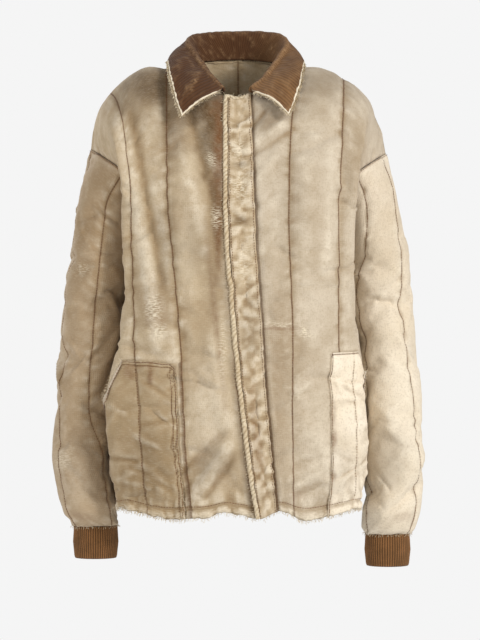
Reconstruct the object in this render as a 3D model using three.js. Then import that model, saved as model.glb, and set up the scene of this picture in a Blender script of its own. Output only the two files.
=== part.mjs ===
import * as THREE from 'three';

// A worn, thinly padded cotton-duck work jacket in millimetres, front towards -Y, up along +Z.
// It keeps the hollow shape that it has when worn, open at the neck, the hem and the cuffs.
// The origin is the middle of the neck opening, level with the tops of the shoulders.

// Driving sizes
const paddedCloth = 3;
const patchCloth = 2.2;
const corduroy = 3;
const ribKnit = 2.6;
const seamGap = 0.3;
const clearance = 0.5;
const puff = 2.4;
const chestLevel = -235;
const hemLevel = -714;
const bindingWidth = 6;
const pocketBindingWidth = 14;
const cuffRibs = 36;
const ribHeight = 1;

// Small vector helpers
const plus = (a, b, scale = 1) => a.map((value, i) => value + b[i] * scale);
const mix = (a, b, share) => a + (b - a) * share;
const mixPoints = (a, b, share) => a.map((value, i) => mix(value, b[i], share));
const gapBetween = (a, b) => Math.hypot(...a.map((value, i) => value - b[i]));
const cross = (a, b) => [
  a[1] * b[2] - a[2] * b[1],
  a[2] * b[0] - a[0] * b[2],
  a[0] * b[1] - a[1] * b[0],
];
const unit = (a) => a.map((value) => value / (Math.hypot(...a) || 1));
const clamp = (value, low, high) => Math.min(Math.max(value, low), high);

// A smooth curve through rows of numbers. marks says where each row lies, spacing how far apart they count.
function smoothCurve(marks, rows, spacing = marks) {
  const slopes = rows.map((row, i) => {
    const before = Math.max(i - 1, 0);
    const after = Math.min(i + 1, rows.length - 1);
    const rate = (a, b) => rows[b].map((value, k) => (value - rows[a][k]) / (spacing[b] - spacing[a]));
    if (before === i || after === i) {
      return rate(before, after);
    }
    const share = (spacing[i] - spacing[before]) / (spacing[after] - spacing[before]);
    return mixPoints(rate(before, i), rate(i, after), share);
  });
  return (at) => {
    let span = 0;
    while (span < rows.length - 2 && at > marks[span + 1]) {
      span += 1;
    }
    const t = (at - marks[span]) / (marks[span + 1] - marks[span]);
    const width = spacing[span + 1] - spacing[span];
    const a = 1 - t * t * (3 - 2 * t);
    const b = t * (1 - t) * (1 - t) * width;
    const c = t * t * (1 - t) * width;
    return rows[span].map((value, k) => (
      value * a + rows[span + 1][k] * (1 - a) + slopes[span][k] * b - slopes[span + 1][k] * c
    ));
  };
}

// The same through points in space, where close points turn the curve no more than far ones do.
function curveThrough(marks, points) {
  const spacing = [0];
  for (let i = 1; i < points.length; i += 1) {
    spacing.push(spacing[i - 1] + Math.sqrt(gapBetween(points[i - 1], points[i])));
  }
  return smoothCurve(marks, points, spacing);
}

// Turns a table whose first column is the mark into a smooth curve of its other columns.
const tableCurve = (rows) => smoothCurve(rows.map((row) => row[0]), rows.map((row) => row.slice(1)));
const pointCurve = (rows) => curveThrough(rows.map((row) => row[0]), rows.map((row) => row.slice(1)));

// Level sections of the body, hem to chest: how far front and back reach, and where the seams cross.
// right and left are the wearer's. Columns:
// level, front, back, backCorner, centre,
// sideR, cornerR, outerR, innerR, sideL, cornerL, outerL, innerL
const sections = [
  [-714, -141, 128, 194, 49, -197, -191, -144, -72, 198, 196, 158, 89],
  [-650, -153, 137, 203, 41, -202, -201, -149, -80, 202, 203, 163, 87],
  [-590, -156, 138, 206, 34, -202, -206, -153, -84, 202, 204, 163, 86],
  [-530, -154, 135, 203, 27, -198, -210, -156, -87, 198, 198, 161, 86],
  [-470, -150, 131, 192, 21, -184, -190, -164, -90, 184, 189, 160, 86],
  [-410, -149, 130, 184, 16, -174, -178, -166, -94, 174, 181, 160, 86],
  [-350, -149, 132, 178, 11, -163, -178, -167, -99, 163, 181, 160, 84],
  [-295, -146, 133, 174, 7, -154, -181, -169, -106, 155, 183, 161, 82],
  [-262, -143, 132, 173, 6, -152, -182, -170, -109, 153, 186, 162, 81],
  [-235, -140, 130, 174, 5, -160, -182, -171, -112, 161, 189, 163, 81],
];
const sectionAt = tableCurve(sections);

// Stations across half a panel: 0 centre, 1 inner seam, 2 outer seam, 3 corner, 4 under the arm, 5 side seam.
const stations = [0, 1, 2, 3, 4, 5];
const cornerDepth = 0.66;
const pinchDepth = 0.36;
const pinchShare = 0.8;
const sideDepth = 2;

// The curve of half a level section. side is -1 for the wearer's right, 1 for the left.
function halfSection(level, side, behind) {
  const [front, back, backCorner, centre, sideR, cornerR, outerR, innerR, sideL, cornerL, outerL, innerL] =
    sectionAt(level);
  const edge = side < 0 ? sideR : sideL;
  const reach = behind ? back : front;
  const corner = behind ? side * backCorner : (side < 0 ? cornerR : cornerL);
  const middle = behind ? 0 : centre;
  const inner = behind ? corner * 0.42 : (side < 0 ? innerR : innerL);
  const outer = behind ? corner * 0.8 : (side < 0 ? outerR : outerL);
  const depthAt = (x) => reach * mix(1, cornerDepth, Math.abs((x - middle) / (corner - middle)) ** 2.4);
  return curveThrough(stations, [
    [middle, reach, level],
    [inner, depthAt(inner), level],
    [outer, depthAt(outer), level],
    [corner, reach * cornerDepth, level],
    [mix(corner, edge, pinchShare), reach * pinchDepth, level],
    [edge, sideDepth, level],
  ]);
}

// Edges of the upper panels. Neck and shoulder rows: station, x, y, z. Armhole rows: share, x, y, z.
const frontNeck = {
  '-1': [[0, 2, -92, -57], [0.2, -27, -90, -51], [0.4, -58, -68, -36], [0.6, -78, -32, -12], [0.8, -84, 8, 12]],
  1: [[0, 2, -92, -57], [0.2, 24, -90, -50], [0.4, 55, -68, -36], [0.6, 76, -32, -12], [0.8, 82, 8, 10]],
};
const backNeck = {
  '-1': [[0, 0, 78, 24], [0.2, -24, 76, 23], [0.4, -50, 63, 20], [0.6, -72, 40, 16], [0.8, -84, 8, 12]],
  1: [[0, 0, 78, 24], [0.2, 24, 76, 23], [0.4, 49, 63, 19], [0.6, 70, 40, 15], [0.8, 82, 8, 10]],
};
const shoulder = {
  '-1': [
    [0.8, -84, 8, 12], [1, -119, 6, 3], [1.3, -153, 5, 2], [1.65, -186, 5, -17], [2, -210, 5, -40],
    [3, -228, 5, -66], [4, -239, 5, -99], [5, -243, 5, -131],
  ],
  1: [
    [0.8, 82, 8, 10], [1, 107, 6, 3], [1.4, 136, 5, 1], [2, 172, 5, -15], [2.5, 197, 5, -33],
    [3, 214, 5, -51], [3.5, 226, 5, -76], [4, 237, 5, -104], [5, 244, 5, -138],
  ],
};
const armholeFront = {
  '-1': [[0, -160, 2, -235], [0.25, -170, -48, -212], [0.5, -185, -80, -174], [0.75, -216, -52, -149],
    [1, -243, 5, -131]],
  1: [[0, 161, 2, -235], [0.25, 172, -48, -214], [0.5, 192, -78, -176], [0.75, 219, -50, -155],
    [1, 244, 5, -138]],
};
const armholeBack = {
  '-1': [[0, -160, 2, -235], [0.25, -170, 52, -210], [0.5, -187, 86, -172], [0.75, -217, 56, -147],
    [1, -243, 5, -131]],
  1: [[0, 161, 2, -235], [0.25, 171, 52, -212], [0.5, 189, 86, -175], [0.75, 219, 56, -152],
    [1, 244, 5, -138]],
};
const neckEnd = 0.8;
// How strongly the centre edge and the armhole pull on each station
const centrePull = tableCurve([[0, 1], [1, 0.4], [2, 0.1], [3, 0.05], [4, 0.02], [5, 0]]);
const armholePull = tableCurve([[0, 0], [1, 0.02], [2, 0.25], [3, 0.45], [4, 0.72], [5, 1]]);

// A point above the chest line: an arc from chest to shoulder, drawn towards the centre edge and the armhole.
function upperPoint(station, rise, side, behind) {
  const bottomCurve = halfSection(chestLevel, side, behind);
  const neck = pointCurve((behind ? backNeck : frontNeck)[side]);
  const ridge = pointCurve(shoulder[side]);
  const top = (at) => (at <= neckEnd ? neck(at) : ridge(at));
  const turn = rise * Math.PI / 2;
  const arc = (at) => {
    const [x0, y0, z0] = bottomCurve(at);
    const [x1, y1, z1] = top(at);
    const fall = Math.cos(turn);
    return [mix(x1, x0, fall), mix(y1, y0, fall), mix(z0, z1, Math.sin(turn))];
  };
  const armhole = pointCurve((behind ? armholeBack : armholeFront)[side])(rise);
  const centre = mixPoints(bottomCurve(0), top(0), Math.sin(turn));
  const centred = plus(arc(station), plus(centre, arc(0), -1), centrePull(station)[0]);
  return plus(centred, plus(armhole, arc(5), -1), armholePull(station)[0]);
}

// Largest folds of the body, as soft ridges (+) and troughs (-) seen from the front or the back.
// Rows: fromX, fromZ, toX, toZ, width, height
const frontFolds = [
  [-100, -90, -24, -250, 20, -5],
  [-60, -80, -8, -200, 18, 4],
  [-134, -230, -122, -420, 24, 4],
  [-40, -300, -62, -470, 26, -5],
  [-6, -560, -58, -690, 20, 6],
  [-34, -600, -96, -700, 18, -5],
  [60, -120, 48, -330, 22, -4],
  [122, -120, 112, -420, 28, 5],
  [96, -520, 140, -640, 20, 6],
  [70, -600, 120, -700, 18, -5],
];
const backFolds = [
  [-120, -150, -70, -420, 28, 6],
  [110, -170, 82, -400, 26, 5],
  [-30, -220, 10, -520, 30, -5],
  [50, -480, 110, -690, 22, 6],
  [-80, -500, -130, -690, 24, 6],
];
const flapZone = 30;
const flapEase = 28;
const gatherLength = 76;
const gatherHeight = 2.6;
const gatherRise = 70;

function foldLift(x, z, folds) {
  return folds.reduce((sum, [fromX, fromZ, toX, toZ, width, height]) => {
    const run = Math.hypot(toX - fromX, toZ - fromZ);
    const along = ((x - fromX) * (toX - fromX) + (z - fromZ) * (toZ - fromZ)) / run;
    const aside = ((x - fromX) * (toZ - fromZ) - (z - fromZ) * (toX - fromX)) / run;
    const past = Math.max(-along, along - run, 0);
    return sum + height * Math.exp(-((aside / width) ** 2) - ((past / (1.6 * width)) ** 2));
  }, 0);
}

// One point of the body's outer face, on the stitch lines. level counts down from the chest line in mm,
// and rise goes up from it, 0 to 1.
function bodyPoint(station, row, side, behind) {
  const point = row.rise > 0
    ? upperPoint(station, row.rise, side, behind)
    : halfSection(row.level, side, behind)(station);
  const [x, y, z] = point;
  const fade = clamp((5 - station) / 2, 0, 1) * (row.rise > 0 ? clamp(2.5 * (1 - row.rise), 0, 1) : 1);
  const offCentre = Math.abs(x - halfSection(z, side, behind)(0)[0]);
  const besideFlap = behind ? 1 : clamp((offCentre - flapZone) / flapEase, 0, 1);
  const wave = Math.sin(2 * Math.PI * x / gatherLength + (behind ? 1 : 0)) * gatherHeight;
  const nearHem = clamp((hemLevel + gatherRise - z) / gatherRise, 0, 1) ** 2;
  const lift = foldLift(x, z, behind ? backFolds : frontFolds) + wave * nearHem;
  return [x, y + (behind ? 1 : -1) * lift * fade * besideFlap, z];
}

// The padding's lift between lines of stitching, flat under the flap and thin near the side.
const channels = [0, 1, 2, 5];
const backChannels = [0, 1, 2, 3, 5];
function puffAt(station, row, side, behind) {
  const lines = behind ? backChannels : channels;
  const after = lines.find((line) => line >= station);
  const before = lines.findLast((line) => line <= station);
  const across = before === after ? 0 : Math.sqrt(Math.sin(Math.PI * (station - before) / (after - before)));
  const offCentre = Math.abs(bodyPoint(station, row, side, behind)[0] - bodyPoint(0, row, side, behind)[0]);
  const besideFlap = behind ? 1 : clamp((offCentre - flapZone) / flapEase, 0, 1);
  const nearSide = clamp((5 - station) / 1.5, 0, 1);
  const nearEnds = row.rise > 0
    ? clamp((1 - row.rise) * 5, 0, 1)
    : clamp((row.level - hemLevel) / 60, 0, 1);
  return puff * across * besideFlap * nearSide * nearEnds;
}

const lowerRows = 16;
const upperRows = 10;
const rowList = [];
for (let i = 0; i < lowerRows; i += 1) {
  rowList.push({ level: mix(hemLevel, chestLevel, i / lowerRows), rise: 0 });
}
for (let i = 0; i <= upperRows; i += 1) {
  rowList.push({ level: chestLevel, rise: i / upperRows });
}
const acrossHalf = [0, 0.2, 0.4, 0.6, 0.8, 1, 1.33, 1.67, 2, 3, 3.5, 4, 4.5, 5];

const halfGrid = (side, behind) => rowList.map((row) => (
  acrossHalf.map((station) => bodyPoint(station, row, side, behind))
));

// Sleeves: rings below the armhole. Columns: outerLevel, innerLevel, outerX, innerX, frontY, backY
const sleeveRings = {
  '-1': [
    [-180, -256, -251, -169, -78, 84],
    [-232, -296, -262, -175, -72, 80],
    [-300, -330, -272, -182, -66, 78],
    [-370, -380, -284, -190, -58, 80],
    [-450, -450, -290, -198, -52, 82],
    [-530, -530, -294, -205, -58, 78],
    [-610, -610, -297, -210, -66, 66],
    [-680, -680, -295, -207, -72, 56],
    [-722, -722, -286, -202, -66, 42],
    [-741, -741, -275, -199, -52, 24],
    [-749, -749, -270, -198, -43, 13],
  ],
  1: [
    [-184, -256, 252, 170, -76, 84],
    [-234, -296, 263, 176, -72, 80],
    [-300, -330, 275, 183, -66, 78],
    [-370, -380, 284, 190, -58, 80],
    [-450, -450, 291, 198, -52, 82],
    [-530, -530, 296, 205, -58, 78],
    [-610, -610, 300, 210, -66, 66],
    [-680, -680, 299, 208, -74, 54],
    [-728, -728, 295, 205, -70, 40],
    [-752, -752, 287, 206, -58, 20],
    [-761, -761, 282, 208, -50, 10],
  ],
};
const around = 2 * upperRows;
const stepsPerRing = [3, 2, 2, 3, 3, 3, 3, 3, 2, 1, 1];

// Largest folds of a sleeve. Rows: level, turn (0 outside, 0.25 front, 0.5 inside), width, length, height
const sleeveFolds = [
  [-300, 0.2, 22, 0.12, 4],
  [-345, 0.34, 20, 0.1, 5],
  [-385, 0.22, 18, 0.14, -5],
  [-425, 0.3, 18, 0.12, 6],
  [-470, 0.16, 20, 0.12, -4],
  [-560, 0.26, 26, 0.1, 4],
  [-640, 0.14, 22, 0.14, 5],
  [-690, 0.3, 18, 0.16, -4],
  [-430, 0.75, 22, 0.12, 5],
  [-520, 0.85, 26, 0.12, -4],
  [-640, 0.72, 24, 0.12, 5],
];

function ringPoint(ring, turn) {
  const [outerLevel, innerLevel, outerX, innerX, frontY, backY] = ring;
  const angle = 2 * Math.PI * turn;
  const outward = (1 + Math.cos(angle)) / 2;
  return [
    mix(innerX, outerX, outward),
    mix((frontY + backY) / 2, frontY, Math.sin(angle)),
    mix(innerLevel, outerLevel, outward),
  ];
}

function sleeveGrid(side, armholeRing) {
  const rings = sleeveRings[side];
  const grid = [];
  const columns = armholeRing.map((start, k) => {
    const points = [start, ...rings.map((ring) => ringPoint(ring, k / around))];
    return curveThrough(points.map((point, i) => i), points);
  });
  stepsPerRing.forEach((steps, i) => {
    for (let step = 0; step < steps; step += 1) {
      grid.push(columns.map((column) => column(i + step / steps)));
    }
  });
  grid.push(columns.map((column) => column(rings.length)));
  return grid.map((row) => {
    const middle = mixPoints(row[0], row[around / 2], 0.5);
    return row.map((point, k) => {
      const lift = sleeveFolds.reduce((sum, [level, turn, width, length, height]) => {
        const aside = Math.abs(k / around - turn);
        const round = Math.min(aside, 1 - aside) / length;
        return sum + height * Math.exp(-(((point[2] - level) / width) ** 2) - round ** 2);
      }, 0);
      const out = unit([point[0] - middle[0], point[1] - middle[1], 0]);
      return plus(point, out, lift);
    });
  });
}

// The body's panels as grids. The first row is the hem, the first column the centre or the wearer's right.
const frontRight = halfGrid(-1, false);
const frontLeft = halfGrid(1, false);
const backRight = halfGrid(-1, true);
const backLeft = halfGrid(1, true);
const acrossBack = (right, left) => right.map((row, j) => [...row.toReversed(), ...left[j].slice(1)]);
const backGrid = acrossBack(backRight, backLeft);

const lastColumn = acrossHalf.length - 1;
function armholeRing(front, back) {
  const down = [];
  const up = [];
  for (let i = 0; i < upperRows; i += 1) {
    down.push(front[lowerRows + upperRows - i][lastColumn]);
    up.push(back[lowerRows + i][lastColumn]);
  }
  return [...down, ...up];
}
const sleeveRight = sleeveGrid(-1, armholeRing(frontRight, backRight));
const sleeveLeft = sleeveGrid(1, armholeRing(frontLeft, backLeft));

// Outward directions at each grid point. from is a point inside the piece's bend.
function directions(grid, wrapped, inside) {
  const rows = grid.length;
  const columns = grid[0].length;
  const result = grid.map((row, j) => row.map((point, i) => {
    const left = wrapped ? row[(i + columns - 1) % columns] : row[Math.max(i - 1, 0)];
    const right = wrapped ? row[(i + 1) % columns] : row[Math.min(i + 1, columns - 1)];
    const below = grid[Math.max(j - 1, 0)][i];
    const above = grid[Math.min(j + 1, rows - 1)][i];
    return unit(cross(plus(right, left, -1), plus(above, below, -1)));
  }));
  const j = Math.floor(rows / 2);
  const i = wrapped ? 0 : Math.floor(columns / 2);
  const away = plus(grid[j][i], inside(grid[j]), -1);
  const facing = result[j][i].reduce((sum, value, k) => sum + value * away[k], 0);
  return facing > 0 ? result : result.map((row) => row.map((vector) => vector.map((value) => -value)));
}

// Panels that share a seam share the direction in which the cloth is thick there. Where front, back and
// sleeve meet, the sleeve counts twice, once for each of the other two.
function shareDirections(pieces) {
  const sums = new Map();
  const key = (point) => point.map((value) => Math.round(value * 20)).join(' ');
  const edgePoints = (visit) => pieces.forEach(({ grid, normals, wrapped }) => {
    grid.forEach((row, j) => row.forEach((point, i) => {
      const onSide = !wrapped && (i === 0 || i === row.length - 1);
      if (j === 0 || j === grid.length - 1 || onSide) {
        visit(key(point), normals[j], i, wrapped && i % upperRows === 0 ? 2 : 1);
      }
    }));
  });
  edgePoints((name, row, i, weight) => sums.set(name, plus(sums.get(name) || [0, 0, 0], row[i], weight)));
  edgePoints((name, row, i) => {
    row[i] = unit(sums.get(name));
  });
}

// Moves the rim of a grid inwards by half the gap of a seam.
function insetRim(grid, wrapped, distance) {
  const rows = grid.length;
  const columns = grid[0].length;
  return grid.map((row, j) => row.map((point, i) => {
    const inner = [
      wrapped ? i : clamp(i, 1, columns - 2),
      clamp(j, 1, rows - 2),
    ];
    const target = grid[inner[1]][inner[0]];
    const reach = gapBetween(point, target);
    return reach > 0 ? plus(point, unit(plus(target, point, -1)), distance) : point;
  }));
}

// A closed wall between an outer and an inner grid of points.
function wallGeometry(outer, inner, wrapped) {
  const rows = outer.length;
  const columns = outer[0].length;
  const positions = [...outer.flat(2), ...inner.flat(2)];
  const at = (layer, j, i) => layer * rows * columns + j * columns + (i % columns);
  const faces = [];
  const corner = (index) => positions.slice(3 * index, 3 * index + 3);
  const quad = (a, b, c, d) => {
    const shorter = gapBetween(corner(a), corner(c)) < gapBetween(corner(b), corner(d));
    faces.push(...(shorter ? [a, b, c, a, c, d] : [b, c, d, b, d, a]));
  };
  const spans = wrapped ? columns : columns - 1;
  for (let j = 0; j < rows - 1; j += 1) {
    for (let i = 0; i < spans; i += 1) {
      quad(at(0, j, i), at(0, j, i + 1), at(0, j + 1, i + 1), at(0, j + 1, i));
      quad(at(1, j, i), at(1, j + 1, i), at(1, j + 1, i + 1), at(1, j, i + 1));
    }
  }
  for (let i = 0; i < spans; i += 1) {
    quad(at(0, 0, i), at(1, 0, i), at(1, 0, i + 1), at(0, 0, i + 1));
    quad(at(0, rows - 1, i), at(0, rows - 1, i + 1), at(1, rows - 1, i + 1), at(1, rows - 1, i));
  }
  for (let j = 0; j < rows - 1 && !wrapped; j += 1) {
    quad(at(0, j, 0), at(0, j + 1, 0), at(1, j + 1, 0), at(1, j, 0));
    quad(at(0, j, spans), at(1, j, spans), at(1, j + 1, spans), at(0, j + 1, spans));
  }
  let volume = 0;
  for (let f = 0; f < faces.length; f += 3) {
    const [a, b, c] = [0, 1, 2].map((k) => corner(faces[f + k]));
    volume += a[0] * (b[1] * c[2] - b[2] * c[1]) + a[1] * (b[2] * c[0] - b[0] * c[2])
      + a[2] * (b[0] * c[1] - b[1] * c[0]);
  }
  const geometry = new THREE.BufferGeometry();
  geometry.setAttribute('position', new THREE.Float32BufferAttribute(positions, 3));
  geometry.setIndex(volume > 0 ? faces : faces.toReversed());
  geometry.computeVertexNormals();
  return geometry;
}

const duck = new THREE.MeshStandardMaterial({ color: '#cdbb9d', roughness: 0.92, metalness: 0 });
const cord = new THREE.MeshStandardMaterial({ color: '#7a5738', roughness: 0.95, metalness: 0 });
const knit = new THREE.MeshStandardMaterial({ color: '#70502f', roughness: 0.95, metalness: 0 });
const tape = new THREE.MeshStandardMaterial({ color: '#d8c6a6', roughness: 0.95, metalness: 0 });
const model = new THREE.Group();

function addPiece(name, geometry, material) {
  const mesh = new THREE.Mesh(geometry, material);
  mesh.name = name;
  model.add(mesh);
}

// The padded panels: thin at the stitch lines, lifted between them.
const halfPuffs = (side, behind) => rowList.map((row) => (
  acrossHalf.map((station) => puffAt(station, row, side, behind))
));
const sleeveLines = [0, 6, 10, 14, 20];
const sleevePuffs = sleeveRight.map((row, j) => row.map((point, k) => {
  const after = sleeveLines.find((line) => line >= k);
  const before = sleeveLines.findLast((line) => line <= k);
  const across = before === after ? 0 : Math.sin(Math.PI * (k - before) / (after - before));
  return puff * Math.sqrt(across) * clamp(Math.min(j, sleeveRight.length - 1 - j) / 2, 0, 1);
}));
const bodyInside = () => [0, 0, -400];
const sleeveInside = (row) => mixPoints(row[0], row[around / 2], 0.5);
const panels = [
  { name: 'front_right', grid: frontRight, lifts: halfPuffs(-1, false), inside: bodyInside },
  { name: 'front_left', grid: frontLeft, lifts: halfPuffs(1, false), inside: bodyInside },
  { name: 'back', grid: backGrid, lifts: acrossBack(halfPuffs(-1, true), halfPuffs(1, true)), inside: bodyInside },
  { name: 'sleeve_right', grid: sleeveRight, lifts: sleevePuffs, inside: sleeveInside, wrapped: true },
  { name: 'sleeve_left', grid: sleeveLeft, lifts: sleevePuffs, inside: sleeveInside, wrapped: true },
];
panels.forEach((panel) => {
  panel.normals = directions(panel.grid, panel.wrapped, panel.inside);
});
shareDirections(panels);
panels.forEach((panel) => {
  panel.rim = insetRim(panel.grid, panel.wrapped, seamGap / 2);
  panel.outer = panel.rim.map((row, j) => row.map((point, i) => (
    plus(point, panel.normals[j][i], panel.lifts[j][i])
  )));
  panel.inner = panel.rim.map((row, j) => row.map((point, i) => (
    plus(point, panel.normals[j][i], -paddedCloth)
  )));
  addPiece(panel.name, wallGeometry(panel.outer, panel.inner, panel.wrapped), duck);
});

// Places on a front's outer face, given as a fraction of its columns and rows.
const fronts = { '-1': panels[0], 1: panels[1] };
function between(grid, column, row) {
  const i = Math.min(Math.floor(column), grid[0].length - 2);
  const j = Math.min(Math.floor(row), grid.length - 2);
  const below = mixPoints(grid[j][i], grid[j][i + 1], column - i);
  const above = mixPoints(grid[j + 1][i], grid[j + 1][i + 1], column - i);
  return mixPoints(below, above, row - j);
}
const columnOf = (station) => {
  const i = Math.min(acrossHalf.findLastIndex((value) => value <= station), acrossHalf.length - 2);
  return i + (station - acrossHalf[i]) / (acrossHalf[i + 1] - acrossHalf[i]);
};
const rowOf = (level) => lowerRows * (level - hemLevel) / (chestLevel - hemLevel);

// A patch or strip that lies on a front: its points are the panel's, moved out.
function patchOnFront(name, places, thickness, seat, crown, material) {
  const lastRow = places.length - 1;
  const lastPlace = places[0].length - 1;
  const lifted = (height) => places.map((line, j) => line.map(({ side, column, row }, i) => {
    const swell = Math.max(Math.sin(Math.PI * j / lastRow) * Math.sin(Math.PI * i / lastPlace), 0);
    const direction = unit(between(fronts[side].normals, column, row));
    return plus(between(fronts[side].outer, column, row), direction, seat + height + crown * Math.sqrt(swell));
  }));
  addPiece(name, wallGeometry(lifted(thickness), lifted(0), false), material);
}

// Storm flap. Rows: level, how far it reaches to the wearer's right and left of the centre line
const flapReach = tableCurve([[-714, -16, 14], [-590, -19.5, 17], [-470, -20, 21], [-300, -21, 23], [-50, -20, 21]]);
const flapTop = lowerRows + 0.95 * upperRows;
const flapSeat = 0.8;
function besideCentre(offset, row) {
  const side = offset < 0 ? -1 : 1;
  const { grid } = fronts[side];
  const step = gapBetween(between(grid, 0, row), between(grid, 1, row));
  return { side, column: Math.abs(offset) / step, row };
}
const flapRows = rowList.map((row, j) => Math.min(j, flapTop));
const flapEdges = (row) => flapReach(between(frontLeft, 0, row)[2]);
patchOnFront('flap', flapRows.map((row) => {
  const [right, left] = flapEdges(row);
  return [right, right / 2, 0, left / 2, left].map((offset) => besideCentre(offset, row));
}), patchCloth, flapSeat, 0, duck);
patchOnFront('flap_binding', flapRows.map((row) => {
  const edge = flapEdges(row)[0] - seamGap;
  return [edge - bindingWidth, edge].map((offset) => besideCentre(offset, row));
}), 2 * patchCloth, flapSeat, 0, tape);

// Patch pockets. Columns: station across the front, level of the top edge there. The last few slant down
// along the opening for the hand.
const pocketBottom = hemLevel;
const pocketSpans = 8;
const pocketTops = {
  '-1': [[1.12, -482], [1.33, -481], [1.67, -480], [2, -479], [2.6, -478], [3, -532], [3.5, -548]],
  1: [[1.77, -466], [2, -465], [3, -463], [3.5, -496], [4, -530], [4.3, -540]],
};
const pocketSeat = 1.2;
const pocketCrown = 2.5;
const entryColumns = 3;
const entryThickness = 2;
const entrySeats = { '-1': 1.8, 1: 1 };
[[-1, 'right'], [1, 'left']].forEach(([side, name]) => {
  const place = (station, level) => ({ side, column: columnOf(station), row: rowOf(level) });
  const lines = [];
  const fullHeight = pocketTops[side][0][1] - pocketBottom;
  for (let j = 0; j <= pocketSpans; j += 1) {
    const level = mix(hemLevel, chestLevel, j / lowerRows);
    const share = j === pocketSpans ? 1 : Math.max((level - pocketBottom) / fullHeight, 0);
    lines.push(pocketTops[side].map(([station, top]) => place(station, mix(pocketBottom, top, share))));
  }
  patchOnFront(`pocket_${name}`, lines, patchCloth, pocketSeat, pocketCrown, duck);
  const entry = pocketTops[side].slice(-entryColumns);
  const seat = pocketSeat + patchCloth + entrySeats[side];
  patchOnFront(`pocket_binding_${name}`, [pocketBindingWidth, 0].map((drop) => (
    entry.map(([station, top]) => place(station, top - drop))
  )), entryThickness, seat, 0, tape);
});

// Turn-down collar: one strip from the neck seam up the stand, over the fold and down the fall to its edge.
// Fold and outer edge by column from the wearer's right to the left: column, x, y, z
const collarFold = pointCurve([
  [0, -25, -98, -40], [1, -42, -76, -20], [2, -57, -46, 2], [3, -72, -12, 28], [4, -83, 16, 48],
  [5, -76, 46, 61], [6, -48, 72, 69], [7, 0, 84, 72], [8, 48, 72, 70], [9, 75, 46, 61],
  [10, 80, 16, 44], [11, 69, -12, 22], [12, 53, -46, -4], [13, 38, -76, -24], [14, 21, -98, -40],
]);
const collarEdge = pointCurve([
  [0, -89, -121, -87], [1, -98, -106, -62], [2, -107, -84, -30], [3, -113, -38, 3], [4, -114, 6, 14],
  [5, -107, 56, 2], [6, -64, 98, -4], [7, 0, 114, -8], [8, 64, 98, -4], [9, 103, 58, 0],
  [10, 108, 6, 12], [11, 106, -38, 0], [12, 100, -84, -32], [13, 90, -106, -62], [14, 80, -121, -85],
]);
const foldRadius = 5;
const fallBulge = 5;
const neckClearance = 1.8;
const neckColumns = 4;
const neckPoints = [];
for (let i = 1; i <= neckColumns; i += 1) {
  neckPoints.push(frontRight.at(-1)[i]);
}
for (let i = -neckColumns + 1; i < neckColumns; i += 1) {
  neckPoints.push((i < 0 ? backRight : backLeft).at(-1)[Math.abs(i)]);
}
for (let i = neckColumns; i >= 1; i -= 1) {
  neckPoints.push(frontLeft.at(-1)[i]);
}
const collarColumns = 2 * (neckPoints.length - 1);
const collarRows = [[], [], [], [], [], [], [], []];
for (let column = 0; column <= collarColumns; column += 1) {
  const at = column / 2;
  const seam = mixPoints(neckPoints[Math.floor(at)], neckPoints[Math.ceil(at)], 0.5);
  const fold = collarFold(at);
  const edge = collarEdge(at);
  const out = unit([seam[0], seam[1] - 6, 0]);
  const base = plus(plus(seam, out, -corduroy), [0, 0, 1], neckClearance);
  const before = plus(plus(fold, out, -foldRadius), [0, 0, 1], -foldRadius);
  const after = plus(plus(fold, out, foldRadius), [0, 0, 1], -foldRadius);
  const bulge = unit([out[0], out[1], 1]);
  const fall = (share) => plus(mixPoints(after, edge, share), bulge, fallBulge * Math.sin(Math.PI * share));
  const line = [base, mixPoints(base, before, 0.5), before, fold, after, fall(0.33), fall(0.67), edge];
  line.forEach((point, k) => collarRows[k].push(point));
}
const collarNormals = directions(collarRows, false, () => [0, 0, 20]);
const collarUnder = collarRows.map((row, j) => row.map((point, i) => (
  plus(point, collarNormals[j][i], -corduroy)
)));
addPiece('collar', wallGeometry(collarRows, collarUnder, false), cord);

// Rib-knit cuffs. Rows: share of the height, scale of the outline
const cuffProfile = [[0, 0.96], [0.5, 1.04], [1, 0.98]];
const cuffHeight = 53;
[[-1, 'right'], [1, 'left']].forEach(([side, name]) => {
  const [top, , outerX, innerX, frontY, backY] = sleeveRings[side].at(-1);
  const middle = [(outerX + innerX) / 2, (frontY + backY) / 2, 0];
  const ring = (share, scale, depth) => {
    const level = top - clearance - cuffHeight * (1 - share);
    const points = [];
    for (let k = 0; k < 2 * cuffRibs; k += 1) {
      const rib = k % 2 ? ribHeight : 0;
      const [x, y] = ringPoint([0, 0, outerX, innerX, frontY, backY], k / (2 * cuffRibs));
      const point = mixPoints(middle, [x, y, 0], scale);
      const out = unit(plus(point, middle, -1));
      points.push(plus([point[0], point[1], level], out, depth > 0 ? -depth : rib - ribHeight));
    }
    return points;
  };
  const outer = cuffProfile.map(([share, scale]) => ring(share, scale, 0));
  const inner = cuffProfile.map(([share, scale]) => ring(share, scale, ribKnit));
  addPiece(`cuff_${name}`, wallGeometry(outer, inner, true), knit);
});

export default model;
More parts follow.
